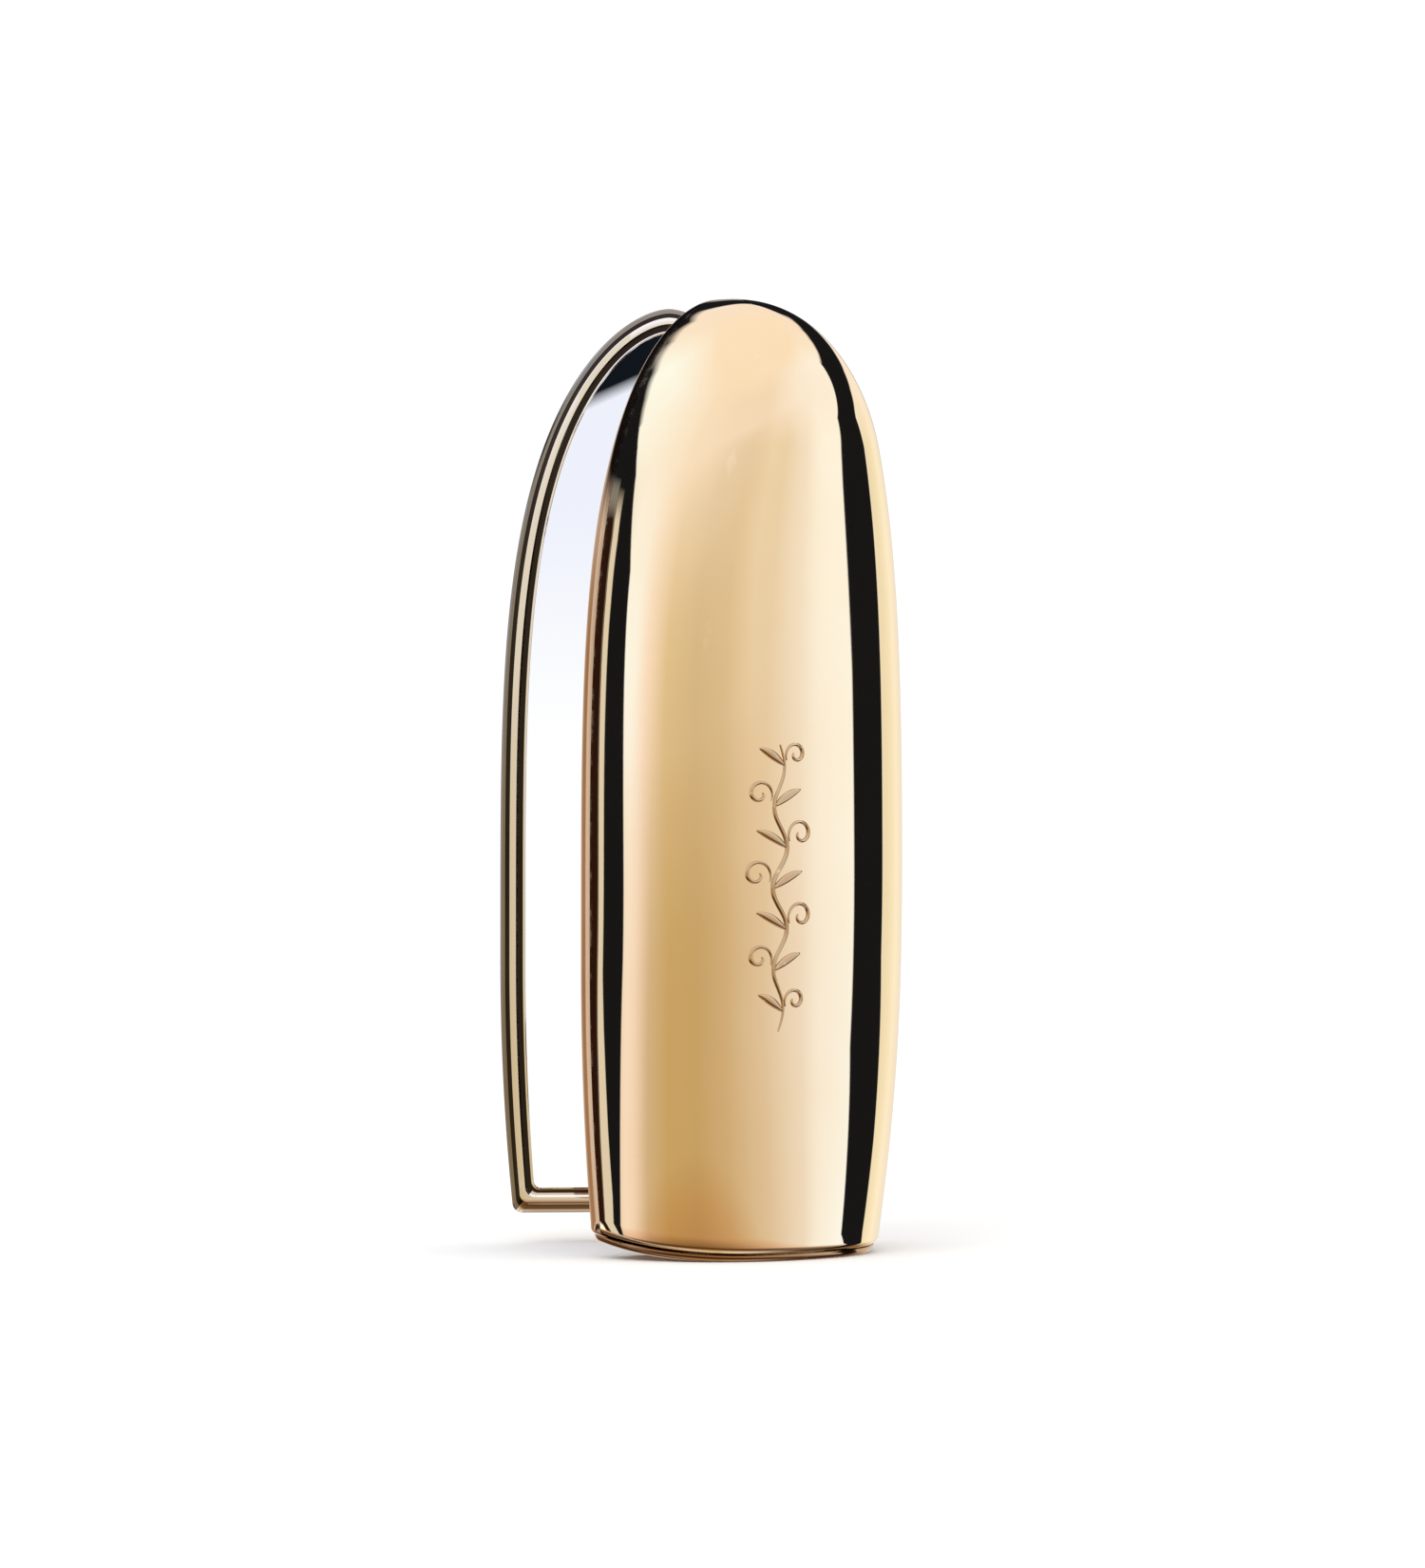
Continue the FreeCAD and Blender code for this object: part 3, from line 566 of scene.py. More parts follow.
def build_foot():
    """Thin crowned foot with a softened lower edge and a shallow recess for its disc."""
    rounding = 0.45
    recess_radius = disc_high[0] + 0.03
    recess_depth = disc_high[2] + 0.03
    sheet = Sheet()

    def outline(inset):
        share = np.linspace(0, 1, SHELL_COLUMNS + 1)
        height = np.full(share.shape, 1.0)
        for _ in range(20):
            points = section_points(height, share, inset, body_depth, PARTING_Y, -1, FOOT_CORNER)
            height = crown_rise(np.hypot(points[:, 0], points[:, 1]))
        left, right = points[0, 0], points[-1, 0]
        turn = FOOT_CORNER - inset
        bend = np.linspace(0, math.pi / 2, 8)
        right_arc = [(right - turn + turn * math.cos(a), PARTING_Y - FOOT_CORNER + turn * math.sin(a))
                     for a in bend[1:]]
        left_arc = [(left + turn - turn * math.cos(a), PARTING_Y - FOOT_CORNER + turn * math.sin(a))
                    for a in bend[:0:-1]]
        across = np.linspace(right - turn, left + turn, 24)[1:-1]
        back = [(x, PARTING_Y - inset) for x in across]
        return np.concatenate([points[:, :2], right_arc, back, left_arc])

    def loop(xy, lift, flatter):
        z = lift + crown_rise(np.hypot(xy[:, 0], xy[:, 1]), flatter)
        return sheet.add(np.column_stack([xy, z]))

    full = outline(FOOT_INSET)
    angles = np.arctan2(full[:, 1], full[:, 0])
    recess = np.stack([np.cos(angles), np.sin(angles)], -1) * recess_radius
    loops = [sheet.add(np.column_stack([recess, np.full(len(recess), recess_depth)]))]
    inner = outline(rounding + FOOT_INSET)
    for mix in np.linspace(0, 1, 12):
        loops.append(loop(recess * (1 - mix) + inner * mix, 0.0, 0.0))
    for step in range(1, 6):
        angle = math.pi / 2 * step / 5
        loops.append(loop(outline(rounding * (1 - math.sin(angle)) + FOOT_INSET),
                          rounding * (1 - math.cos(angle)), 0.0))
    edge = FOOT_THICK - 0.08
    loops.append(loop(full, edge, FOOT_THINNING))
    loops.append(loop(outline(FOOT_INSET + 0.08), FOOT_THICK, FOOT_THINNING))
    for mix in np.linspace(0.85, 0.1, 6):
        loops.append(loop(inner * mix, FOOT_THICK, FOOT_THINNING))
    for one, two in zip(loops[:-1], loops[1:]):
        sheet.ring(one, two)
    sheet.face(loops[0][::-1])
    sheet.face(loops[-1])
    return make_piece("foot_plate_polished", sheet, sharp_degrees=35)


# ---- ornament -------------------------------------------------------------------------------------

ORNAMENT_X = -5.45
ORNAMENT_LOW = 20.6
ORNAMENT_HIGH = 46.2
LINE_RISE = 0.19


def front_surface(x, z):
    """Y of the front shell's surface at places on it."""
    power = roundness(z)
    ratio = np.clip(np.abs(x) / arch_width(z), 0, 1)
    return PARTING_Y - body_depth(z) * (1 - ratio ** power) ** (1 / power)


def raised_line(sheet, across, height, width):
    """A raised rounded line on the front surface along a path; width holds a value per point."""
    across = np.asarray(across, float)
    height = np.asarray(height, float)
    tangent = np.gradient(np.column_stack([across, height]), axis=0)
    tangent /= np.linalg.norm(tangent, axis=1)[:, None] + 1e-12
    normal = np.column_stack([-tangent[:, 1], tangent[:, 0]])
    offsets = np.cos(np.linspace(0, math.pi, 9))
    rows = []
    for i in range(len(across)):
        half = width[i] / 2
        a = ORNAMENT_X + across[i] + normal[i, 0] * offsets * half
        z = height[i] + normal[i, 1] * offsets * half
        lift = LINE_RISE * min(1.0, width[i] / 0.3) * np.sqrt(np.clip(1 - offsets ** 2, 0, 1))
        y = front_surface(a, z) - lift
        y[0] += 0.03
        y[-1] += 0.03
        below = front_surface(a[[-1, 0]], z[[-1, 0]]) + 0.12
        rows.append(np.column_stack([np.append(a, a[[-1, 0]]), np.append(y, below),
                                     np.append(z, z[[-1, 0]])]))
    numbers = sheet.add(rows)
    closed = np.concatenate([numbers, numbers[:, :1]], axis=1)
    sheet.grid(closed)
    sheet.face(numbers[0][::-1])
    sheet.face(numbers[-1])


def stroke_width(count, thick, thin=0.1):
    """Width along a stroke: fine at its ends and full in the middle."""
    return thin + (thick - thin) * np.sin(np.linspace(0.02, math.pi - 0.02, count)) ** 0.8


def build_ornament():
    """A climbing vine: a waving stem with curled tendrils and slim leaves on alternate sides."""
    sheet = Sheet()
    span = ORNAMENT_HIGH - ORNAMENT_LOW
    climb = np.linspace(0, 1, 220)
    stem_x = 0.75 * np.sin(climb * math.pi * 7) * (0.5 + 0.5 * np.sin(climb * math.pi))
    raised_line(sheet, stem_x, ORNAMENT_LOW + span * climb, stroke_width(220, 0.42, 0.14))
    for step in range(7):
        centre = (step + 0.5) / 7
        hand = 1 if step % 2 == 0 else -1
        base_x = float(np.interp(centre, climb, stem_x))
        base_z = ORNAMENT_LOW + span * centre
        size = 1.0 + 0.35 * math.sin(math.pi * centre)
        turn = np.linspace(0, 1, 70)
        angle = -0.5 + turn * 2 * math.pi * 1.15
        radius = 1.05 * size * (1 - 0.78 * turn)
        curl_x = base_x + hand * (1.15 * size - radius * np.cos(angle))
        curl_z = base_z + 0.9 * size + radius * np.sin(angle)
        raised_line(sheet, curl_x, curl_z, stroke_width(70, 0.36))
        leaf = np.linspace(0, 1, 40)
        leaf_x = base_x - hand * 2.3 * size * leaf
        leaf_z = base_z + 1.5 * leaf ** 1.4 + 0.35 * np.sin(leaf * math.pi)
        raised_line(sheet, leaf_x, leaf_z, stroke_width(40, 0.8, 0.08))
    return make_piece("front_ornament", sheet, sharp_degrees=60)


# ---- materials ------------------------------------------------------------------------------------

class Nodes:
    """Short way to write a material's node tree."""

    def __init__(self, name):
        self.material = bpy.data.materials.new(name)
        self.material.use_nodes = True
        self.tree = self.material.node_tree
        self.shader = self.tree.nodes["Principled BSDF"]
        self.place = self.new("ShaderNodeTexCoord").outputs["Object"]

    def new(self, kind, **values):
        node = self.tree.nodes.new(kind)
        for key, value in values.items():
            setattr(node, key, value)
        return node

    def join(self, output, socket):
        self.tree.links.new(output, socket)

    def set(self, **values):
        for key, value in values.items():
            self.shader.inputs[key.replace("_", " ")].default_value = value
        return self

    def noise(self, scale, detail=3.0, stretch=(1, 1, 1), roughness=0.55):
        """Noise from 0 to 1 over the object, in features per millimetre, stretched along the axes."""
        mapping = self.new("ShaderNodeMapping")
        mapping.inputs["Scale"].default_value = [scale * s / MM for s in stretch]
        self.join(self.place, mapping.inputs["Vector"])
        noise = self.new("ShaderNodeTexNoise")
        noise.inputs["Scale"].default_value = 1.0
        noise.inputs["Detail"].default_value = detail
        noise.inputs["Roughness"].default_value = roughness
        self.join(mapping.outputs["Vector"], noise.inputs["Vector"])
        return noise.outputs["Fac"]

    def cells(self, scale, stretch=(1, 1, 1)):
        """Distance to the nearest of scattered points."""
        mapping = self.new("ShaderNodeMapping")
        mapping.inputs["Scale"].default_value = [scale * s / MM for s in stretch]
        self.join(self.place, mapping.inputs["Vector"])
        cells = self.new("ShaderNodeTexVoronoi")
        cells.inputs["Scale"].default_value = 1.0
        self.join(mapping.outputs["Vector"], cells.inputs["Vector"])
        return cells.outputs["Distance"]

    def span(self, value, low, high, to_low=0.0, to_high=1.0):
        """Stretch a range of a value onto another range."""
        spread = self.new("ShaderNodeMapRange")
        spread.inputs["From Min"].default_value = low
        spread.inputs["From Max"].default_value = high
        spread.inputs["To Min"].default_value = to_low
        spread.inputs["To Max"].default_value = to_high
        self.join(value, spread.inputs["Value"])
        return spread.outputs["Result"]

    def maths(self, operation, one, two=None):
        node = self.new("ShaderNodeMath", operation=operation)
        for socket, value in zip(node.inputs, (one, two)):
            if value is None:
                continue
            if isinstance(value, (int, float)):
                socket.default_value = value
            else:
                self.join(value, socket)
        return node.outputs[0]

    def mix(self, share, one, two):
        """Colour between two colours; each may be a colour or a socket."""
        node = self.new("ShaderNodeMix", data_type="RGBA")
        sockets = (node.inputs[0], node.inputs[6], node.inputs[7])
        for socket, value in zip(sockets, (share, one, two)):
            if isinstance(value, (int, float)):
                socket.default_value = value
            elif isinstance(value, tuple):
                socket.default_value = (*value, 1)
            else:
                self.join(value, socket)
        return node.outputs[2]

    def bump(self, height, depth, strength=1.0):
        """Surface relief from a height field, depth in millimetres."""
        bump = self.new("ShaderNodeBump")
        bump.inputs["Strength"].default_value = strength
        bump.inputs["Distance"].default_value = depth * MM
        self.join(height, bump.inputs["Height"])
        previous = self.shader.inputs["Normal"]
        if previous.is_linked:
            self.join(previous.links[0].from_socket, bump.inputs["Normal"])
        self.join(bump.outputs["Normal"], previous)
        return self

    def edges(self):
        """Share of wear: 1 on outward edges, 0 on flats."""
        point = self.new("ShaderNodeNewGeometry").outputs["Pointiness"]
        return self.span(point, 0.53, 0.62)

    def drive(self, value, socket):
        self.join(value, self.shader.inputs[socket])
        return self


def polished_metal(name, colour, worn, rough, haze, scratch):
    """Mirror-bright metal with faint handling haze, hairlines and rubbed edges."""
    n = Nodes(name).set(Metallic=1.0)
    cloud = n.noise(0.09, detail=4)
    hair = n.noise(2.2, detail=2, stretch=(1, 1, 0.04))
    rubbed = n.maths("MULTIPLY", n.edges(), n.span(n.noise(0.8), 0.4, 0.65))
    tone = n.mix(n.span(cloud, 0.3, 0.75, 0.0, 0.35), colour, worn)
    n.drive(n.mix(rubbed, tone, worn), "Base Color")
    haze_map = n.span(cloud, 0.35, 0.8, rough, rough + haze)
    lines = n.span(hair, 0.62, 0.8, 0.0, scratch)
    n.drive(n.maths("ADD", n.maths("ADD", haze_map, lines), n.maths("MULTIPLY", rubbed, 0.12)), "Roughness")
    n.bump(n.noise(1.6, detail=2), 0.0006, 0.25)
    return n.material


def satin_metal(name, colour, worn, rough, grain=6.0, along=(1, 1, 0.05), depth=0.002):
    """Brushed metal with a fine directional grain."""
    n = Nodes(name).set(Metallic=1.0)
    lines = n.noise(grain, detail=3, stretch=along)
    cloud = n.noise(0.25, detail=3)
    rubbed = n.maths("MULTIPLY", n.edges(), n.span(n.noise(1.1), 0.35, 0.6))
    tone = n.mix(n.span(cloud, 0.3, 0.7, 0.0, 0.5), colour, worn)
    n.drive(n.mix(rubbed, tone, worn), "Base Color")
    n.drive(n.maths("ADD", n.span(lines, 0.3, 0.7, rough, rough + 0.12), n.span(cloud, 0.3, 0.8, 0, 0.05)),
            "Roughness")
    n.set(Anisotropic=0.35)
    n.bump(lines, depth, 0.5)
    return n.material


def moulded_plastic(name, colour, shade, rough, grain=3.0, depth=0.004, coat=0.0):
    """Injection-moulded plastic: fine spark grain, flow clouds and slightly polished edges."""
    n = Nodes(name)
    cloud = n.noise(0.22, detail=3)
    pebble = n.noise(grain, detail=3)
    n.drive(n.mix(n.span(cloud, 0.3, 0.7), colour, shade), "Base Color")
    n.drive(n.maths("SUBTRACT", n.span(pebble, 0.3, 0.7, rough, rough + 0.14),
                    n.maths("MULTIPLY", n.edges(), 0.1)), "Roughness")
    n.set(Coat_Weight=coat, Coat_Roughness=0.06)
    n.bump(pebble, depth, 0.5)
    return n.material


def case_gold():
    return polished_metal("case_gold", (0.80, 0.62, 0.385), (0.84, 0.68, 0.47), 0.012, 0.02, 0.02)


def frame_gold():
    return polished_metal("frame_gold", (0.87, 0.85, 0.85), (0.91, 0.88, 0.86), 0.03, 0.04, 0.04)


def tray_gold():
    return polished_metal("tray_gold", (0.42, 0.25, 0.14), (0.66, 0.45, 0.28), 0.04, 0.04, 0.04)


# Painted reflection and shade: near-black polished metal for the lid rim's dark band and for the dark line in
# the recess round its mirror.
def painted_dark_band_metal():
    return polished_metal("painted_dark_band_metal", (0.026, 0.020, 0.016), (0.06, 0.05, 0.04), 0.06, 0.05, 0.04)


# Painted reflection: grey polished metal for the lid rim's grey band.
def painted_grey_band_metal():
    return polished_metal("painted_grey_band_metal", (0.25, 0.225, 0.20), (0.36, 0.33, 0.30), 0.12, 0.06, 0.04)


def ornament_gold():
    return polished_metal("ornament_gold", (0.50, 0.34, 0.19), (0.80, 0.64, 0.43), 0.05, 0.05, 0.03)


def foot_gold():
    return polished_metal("foot_gold", (0.34, 0.20, 0.10), (0.60, 0.42, 0.26), 0.06, 0.06, 0.05)


def mirror_silver():
    """Silvered glass: sharp, with the faintest wiping haze. To camera rays it glows with a painted reflection
    of a white card with a dark flag above, chosen by the reflected direction.
    """
    n = Nodes("mirror_silver").set(Metallic=1.0)
    cloud = n.noise(0.06, detail=4)
    dust = n.span(n.cells(0.55), 0.0, 0.035, 1.0, 0.0)
    n.drive(n.mix(n.span(cloud, 0.3, 0.7), (0.965, 0.972, 0.975), (0.945, 0.957, 0.968)), "Base Color")
    n.drive(n.maths("ADD", n.span(cloud, 0.45, 0.8, 0.0, 0.012), n.maths("MULTIPLY", dust, 0.05)),
            "Roughness")
    around, above, _ = directions(n, n.new("ShaderNodeTexCoord").outputs["Reflection"])
    # Painted reflection: a white card, bluish higher up, chosen by the reflected direction.
    painted_card_reflection = ramp(n, above, -12, 12, (
        (-12, (1.0, 1.0, 1.0)), (0.5, (1.0, 1.0, 1.0)), (2.4, (0.86, 0.885, 0.97)), (12, (0.78, 0.81, 0.89))))
    # Painted reflection: the dark flag above the card, its lower edge leaning with the reflected direction.
    edge = n.maths("SUBTRACT", above, n.maths("MULTIPLY", n.maths("SUBTRACT", around, 6.2), 0.45))
    painted_flag_mask = n.span(edge, 3.53, 3.66)
    # Directions in which the painted reflection takes the place of the mirror's own.
    painted_reflection_share = n.maths("MULTIPLY", window(n, around, -3, 17, 2), window(n, above, -12, 11, 2))
    # The painted card and flag glow as emitted light for camera rays.
    light = n.new("ShaderNodeEmission")
    n.join(n.mix(painted_flag_mask, painted_card_reflection, (0.006, 0.008, 0.012)), light.inputs["Color"])
    mixed = n.new("ShaderNodeMixShader")
    path = n.new("ShaderNodeLightPath")
    n.join(n.maths("MULTIPLY", painted_reflection_share, path.outputs["Is Camera Ray"]), mixed.inputs["Fac"])
    n.join(n.shader.outputs[0], mixed.inputs[1])
    n.join(light.outputs[0], mixed.inputs[2])
    n.join(mixed.outputs[0], n.tree.nodes["Material Output"].inputs["Surface"])
    return n.material


def refill_gold():
    return satin_metal("refill_gold", (0.80, 0.60, 0.34), (0.88, 0.72, 0.50), 0.16, grain=5.0,
                       along=(1, 1, 0.03), depth=0.0012)


def hinge_steel():
    return satin_metal("hinge_steel", (0.66, 0.52, 0.34), (0.78, 0.69, 0.55), 0.14, grain=3.0,
                       along=(1, 1, 0.2), depth=0.0002)


def spring_steel():
    return satin_metal("spring_steel", (0.55, 0.56, 0.58), (0.72, 0.72, 0.72), 0.22, depth=0.0005)


def catch_metal():
    return satin_metal("catch_metal", (0.62, 0.63, 0.65), (0.82, 0.82, 0.82), 0.12, depth=0.0006)


def weight_steel():
    return satin_metal("weight_steel", (0.42, 0.42, 0.43), (0.62, 0.61, 0.60), 0.28, grain=4.0,
                       along=(0.05, 0.05, 1), depth=0.002)


def chassis_plastic():
    return moulded_plastic("chassis_plastic", (0.035, 0.034, 0.034), (0.05, 0.048, 0.047), 0.38)


def liner_plastic():
    return moulded_plastic("liner_plastic", (0.045, 0.043, 0.042), (0.06, 0.058, 0.056), 0.42, grain=4.0)


def cam_plastic():
    return moulded_plastic("cam_plastic", (0.62, 0.60, 0.55), (0.70, 0.68, 0.63), 0.3, grain=4.0)


def tube_plastic():
    return moulded_plastic("tube_plastic", (0.022, 0.021, 0.022), (0.03, 0.029, 0.03), 0.1, coat=0.6)


def cup_plastic():
    return moulded_plastic("cup_plastic", (0.05, 0.047, 0.046), (0.07, 0.066, 0.063), 0.12, coat=0.5)


def mirror_tape():
    return moulded_plastic("mirror_tape", (0.30, 0.29, 0.27), (0.36, 0.35, 0.33), 0.6, grain=5.0, depth=0.01)


def seal_rubber():
    return moulded_plastic("seal_rubber", (0.018, 0.018, 0.019), (0.03, 0.03, 0.03), 0.55, grain=6.0)


def disc_film():
    """Printed film disc: soft rose with a satin varnish and a fibre-fine texture."""
    n = Nodes("disc_film")
    cloud = n.noise(0.4, detail=3)
    n.drive(n.mix(n.span(cloud, 0.3, 0.7), (0.72, 0.30, 0.30), (0.66, 0.25, 0.26)), "Base Color")
    n.drive(n.span(n.noise(5.0), 0.3, 0.7, 0.3, 0.45), "Roughness")
    n.set(Coat_Weight=0.25, Coat_Roughness=0.2)
    n.bump(n.noise(5.0), 0.003, 0.4)
    return n.material


def lipstick_wax():
    """Moulded lipstick: waxy red with a thin bloom, fine pores and a soft inner glow."""
    n = Nodes("lipstick_red")
    cloud = n.noise(0.35, detail=4)
    fine = n.noise(4.0, detail=4)
    n.drive(n.mix(n.span(cloud, 0.3, 0.72), (0.50, 0.022, 0.035), (0.60, 0.045, 0.055)), "Base Color")
    n.drive(n.maths("ADD", n.span(cloud, 0.3, 0.7, 0.26, 0.36), n.span(fine, 0.35, 0.65, 0.0, 0.08)),
            "Roughness")
    n.set(Subsurface_Weight=0.12, Subsurface_Scale=0.0008, Coat_Weight=0.15, Coat_Roughness=0.25)
    n.shader.inputs["Subsurface Radius"].default_value = (1.0, 0.3, 0.25)
    n.bump(fine, 0.006, 0.35)
    return n.material


# ---- carried-over CAD nodes -----------------------------------------------------------------------

def dress_node(node, material, bevel=0.12):
    """Give a CAD node that stays its material and a small softened edge."""
    thing = frame["nodes"][node]
    thing.data.materials.clear()
    thing.data.materials.append(material)
    if bevel:
        edge = thing.modifiers.new("soft_edge", "BEVEL")
        edge.width = bevel * MM
        edge.segments = 2
        edge.limit_method = "ANGLE"
        edge.angle_limit = math.radians(40)
        edge.harden_normals = False


def dress_nodes(materials):
    """Materials for every CAD node whose own shape is shown."""
    for node, slot, bevel in (
            ("front_mirror_tape", "mirror_tape", 0),
            ("rear_mirror_tape", "mirror_tape", 0),
            ("chassis", "chassis_plastic", 0.1),
            ("socket_liner", "liner_plastic", 0.06),
            ("case_hinge_leaf", "hinge_steel", 0.05),
            ("lid_hinge_leaf", "hinge_steel", 0.05),
            ("hinge_pin", "hinge_steel", 0.06),
            ("hinge_spring", "spring_steel", 0),
            ("catch_magnet", "catch_metal", 0.05),
            ("catch_strike", "catch_metal", 0.05),
            ("refill_sleeve", "refill_gold", 0.1),
            ("cam_sleeve", "cam_plastic", 0.05),
            ("brake_ring", "seal_rubber", 0.05),
            ("base_barrel", "refill_gold", 0.1),
            ("inner_tube", "tube_plastic", 0.05),
            ("weight_slug", "weight_steel", 0.1),
            ("base_o_ring", "seal_rubber", 0),
            ("shade_disc", "disc_film", 0),
            ("bullet_cup", "cup_plastic", 0.05),
            ("lipstick_bullet", "lipstick_red", 0.1)):
        dress_node(node, materials[slot], bevel)


# ---- studio ---------------------------------------------------------------------------------------

VIEW_TURN = math.radians(40.56)
CAMERA_FAR = 565.0
CAMERA_ASIDE = 5.09
CAMERA_HEIGHT = 42.69
FOCAL_LENGTH = 157.42
TOWARD_CAMERA = Vector((-math.sin(VIEW_TURN), -math.cos(VIEW_TURN), 0))
CAMERA_RIGHT = Vector((math.cos(VIEW_TURN), -math.sin(VIEW_TURN), 0))

# What a mirror sees, by degrees anticlockwise from the camera, in three bands: low, level and high.
BEHIND_LEFT = ((-180.0, (0.70, 0.62, 0.52)), (-160.0, (1.05, 0.95, 0.85)), (-125.0, (0.95, 0.82, 0.68)))
BEHIND_RIGHT = ((118.0, (1.06, 1.08, 1.00)), (140.0, (1.20, 1.22, 1.16)), (168.0, (0.95, 0.88, 0.78)),
                (178.0, (0.70, 0.62, 0.52)))
LOW_BAND = (
    (-104.0, (0.72, 0.56, 0.40)),
    (-75.0, (1.16, 1.12, 1.22)),
    (-69.0, (1.12, 1.04, 1.10)),
    (-57.0, (0.80, 0.68, 0.53)),
    (-39.0, (0.72, 0.57, 0.30)),
    (-11.0, (0.70, 0.55, 0.31)),
    (18.0, (0.78, 0.64, 0.44)),
    (51.0, (0.92, 0.84, 0.76)),
    (75.0, (1.07, 1.09, 1.22)),
    (83.0, (1.19, 1.34, 1.66)),
    (96.0, (1.22, 1.46, 1.90)),
)
LEVEL_BAND = (
    (-104.0, (0.72, 0.56, 0.40)),
    (-84.0, (1.22, 1.46, 1.86)),
    (-74.0, (1.22, 1.42, 1.80)),
    (-64.0, (1.19, 1.14, 1.24)),
    (-46.0, (0.93, 0.83, 0.62)),
    (-17.0, (0.85, 0.76, 0.60)),
    (13.0, (0.90, 0.82, 0.67)),
    (38.0, (1.04, 0.99, 0.92)),
    (54.0, (1.03, 1.00, 0.94)),
    (73.0, (1.14, 1.18, 1.32)),
    (82.0, (1.24, 1.40, 1.70)),
    (96.0, (1.24, 1.42, 1.78)),
)
HIGH_BAND = (
    (-180.0, (1.14, 1.08, 1.12)),
    (-140.0, (1.18, 1.18, 1.30)),
    (-116.0, (1.22, 1.50, 1.90)),
    (-100.0, (1.22, 1.44, 1.80)),
    (-82.0, (1.21, 1.31, 1.53)),
    (-56.0, (1.17, 1.17, 1.24)),
    (-20.0, (1.13, 1.10, 1.16)),
    (26.0, (1.12, 1.08, 1.11)),
    (69.0, (1.20, 1.26, 1.47)),
    (104.0, (1.22, 1.36, 1.66)),
    (140.0, (1.18, 1.16, 1.26)),
    (180.0, (1.14, 1.08, 1.12)),
)
# Share of the upper of two bands, by degrees above level.
LOW_TO_LEVEL = ((-12, 0.0), (-3, 0.08), (0, 0.40), (2, 0.78), (6, 1.0))
LEVEL_TO_HIGH = ((6, 0.0), (11, 0.20), (14, 0.38), (19, 0.56), (27, 1.0))
GROUND = (
    (-90, (1.10, 1.15, 1.25)),
    (-72, (0.95, 0.90, 0.85)),
    (-50, (0.14, 0.08, 0.05)),
    (-30, (0.26, 0.16, 0.10)),
    (-20.5, (0.87, 0.70, 0.62)),
    (-18, (0.94, 0.82, 0.72)),
    (-15, (1.0, 1.0, 1.0)),
    (90, (1.0, 1.0, 1.0)),
)
ROOF = (1.20, 1.17, 1.20)
BLACK = (0.011, 0.013, 0.019)
BROWN = (0.06, 0.03, 0.015)
DARK = (0.03, 0.012, 0.008)
CREAM = (0.92, 0.94, 0.98)
LINE = (1.5, 1.7, 2.0)
# Edges of the black flags and of the gap behind the left one: degrees above level, degrees round.
LEFT_FLAG = ((-20, -80.0), (-12.3, -79.3), (-2, -78.4), (0.6, -79.3), (12.9, -83.7), (23.4, -94.3),
             (29.9, -104.1), (55, -104.1))
GAP = ((-20, -92.0), (-12, -94.3), (-8.8, -95.8), (-4.3, -96.9), (4.7, -97.8), (9.8, -98.6), (15.1, -100.1),
       (24.8, -105.0), (55, -140.0))
RIGHT_FLAG = ((-20, 107.0), (-9.8, 96.1), (-5.3, 89.9), (-0.2, 89.2), (1.1, 88.7), (2.9, 86.2), (15.4, 87.7),
              (39.9, 103.4), (55, 103.4))
RIGHT_END = ((-20, 128.0), (-7.4, 120.9), (-3, 114.5), (4, 114.0), (15, 111.0), (55, 111.0))
# Top of the dark behind, and top of the bright strip low on its right: degrees round, degrees above level.
DARK_TOP = ((-180, 36.0), (-163, 36.5), (-151, 42.0), (-135, 42.3), (-120, 39.0), (-110.7, 34.5), (-104, 30.2),
            (-98, 48.0), (97, 46.0), (103, 39.8), (110, 42.2), (120, 45.0), (130, 46.6), (142, 46.4),
            (153, 43.5), (165, 38.5), (180, 36.0))
STRIP_TOP = ((-180, -20.0), (100, -20.0), (106, 10.0), (113, 17.0), (124, 22.5), (136, 25.0), (150, 24.0),
             (160, 21.5), (168, 17.5), (174, 13.0), (180, 10.0))
SOFT_WHITE = (1.08, 1.08, 1.08)


def world_nodes():
    """The world's node tree, emptied, with the few helpers that a material has."""
    world = bpy.data.worlds.new("studio")
    bpy.context.scene.world = world
    world.use_nodes = True
    world.node_tree.nodes.clear()
    helper = Nodes.__new__(Nodes)
    helper.tree = world.node_tree
    return helper


def ramp(n, value, low, high, stops):
    """Colour ramp over a value, with stops of (value, colour)."""
    node = n.new("ShaderNodeValToRGB")
    elements = node.color_ramp.elements
    while len(elements) < len(stops):
        elements.new(0.5)
    for element, (at, colour) in zip(elements, stops):
        element.position = (at - low) / (high - low)
        element.color = (*colour, 1)
    n.join(n.span(value, low, high), node.inputs[0])
    return node.outputs[0]


def multiply(n, one, two, share=1.0):
    node = n.new("ShaderNodeMix", data_type="RGBA", blend_type="MULTIPLY")
    for socket, value in ((node.inputs[0], share), (node.inputs[6], one), (node.inputs[7], two)):
        if isinstance(value, (int, float)):
            socket.default_value = value
        elif isinstance(value, tuple):
            socket.default_value = (*value, 1)
        else:
            n.join(value, socket)
    return node.outputs[2]


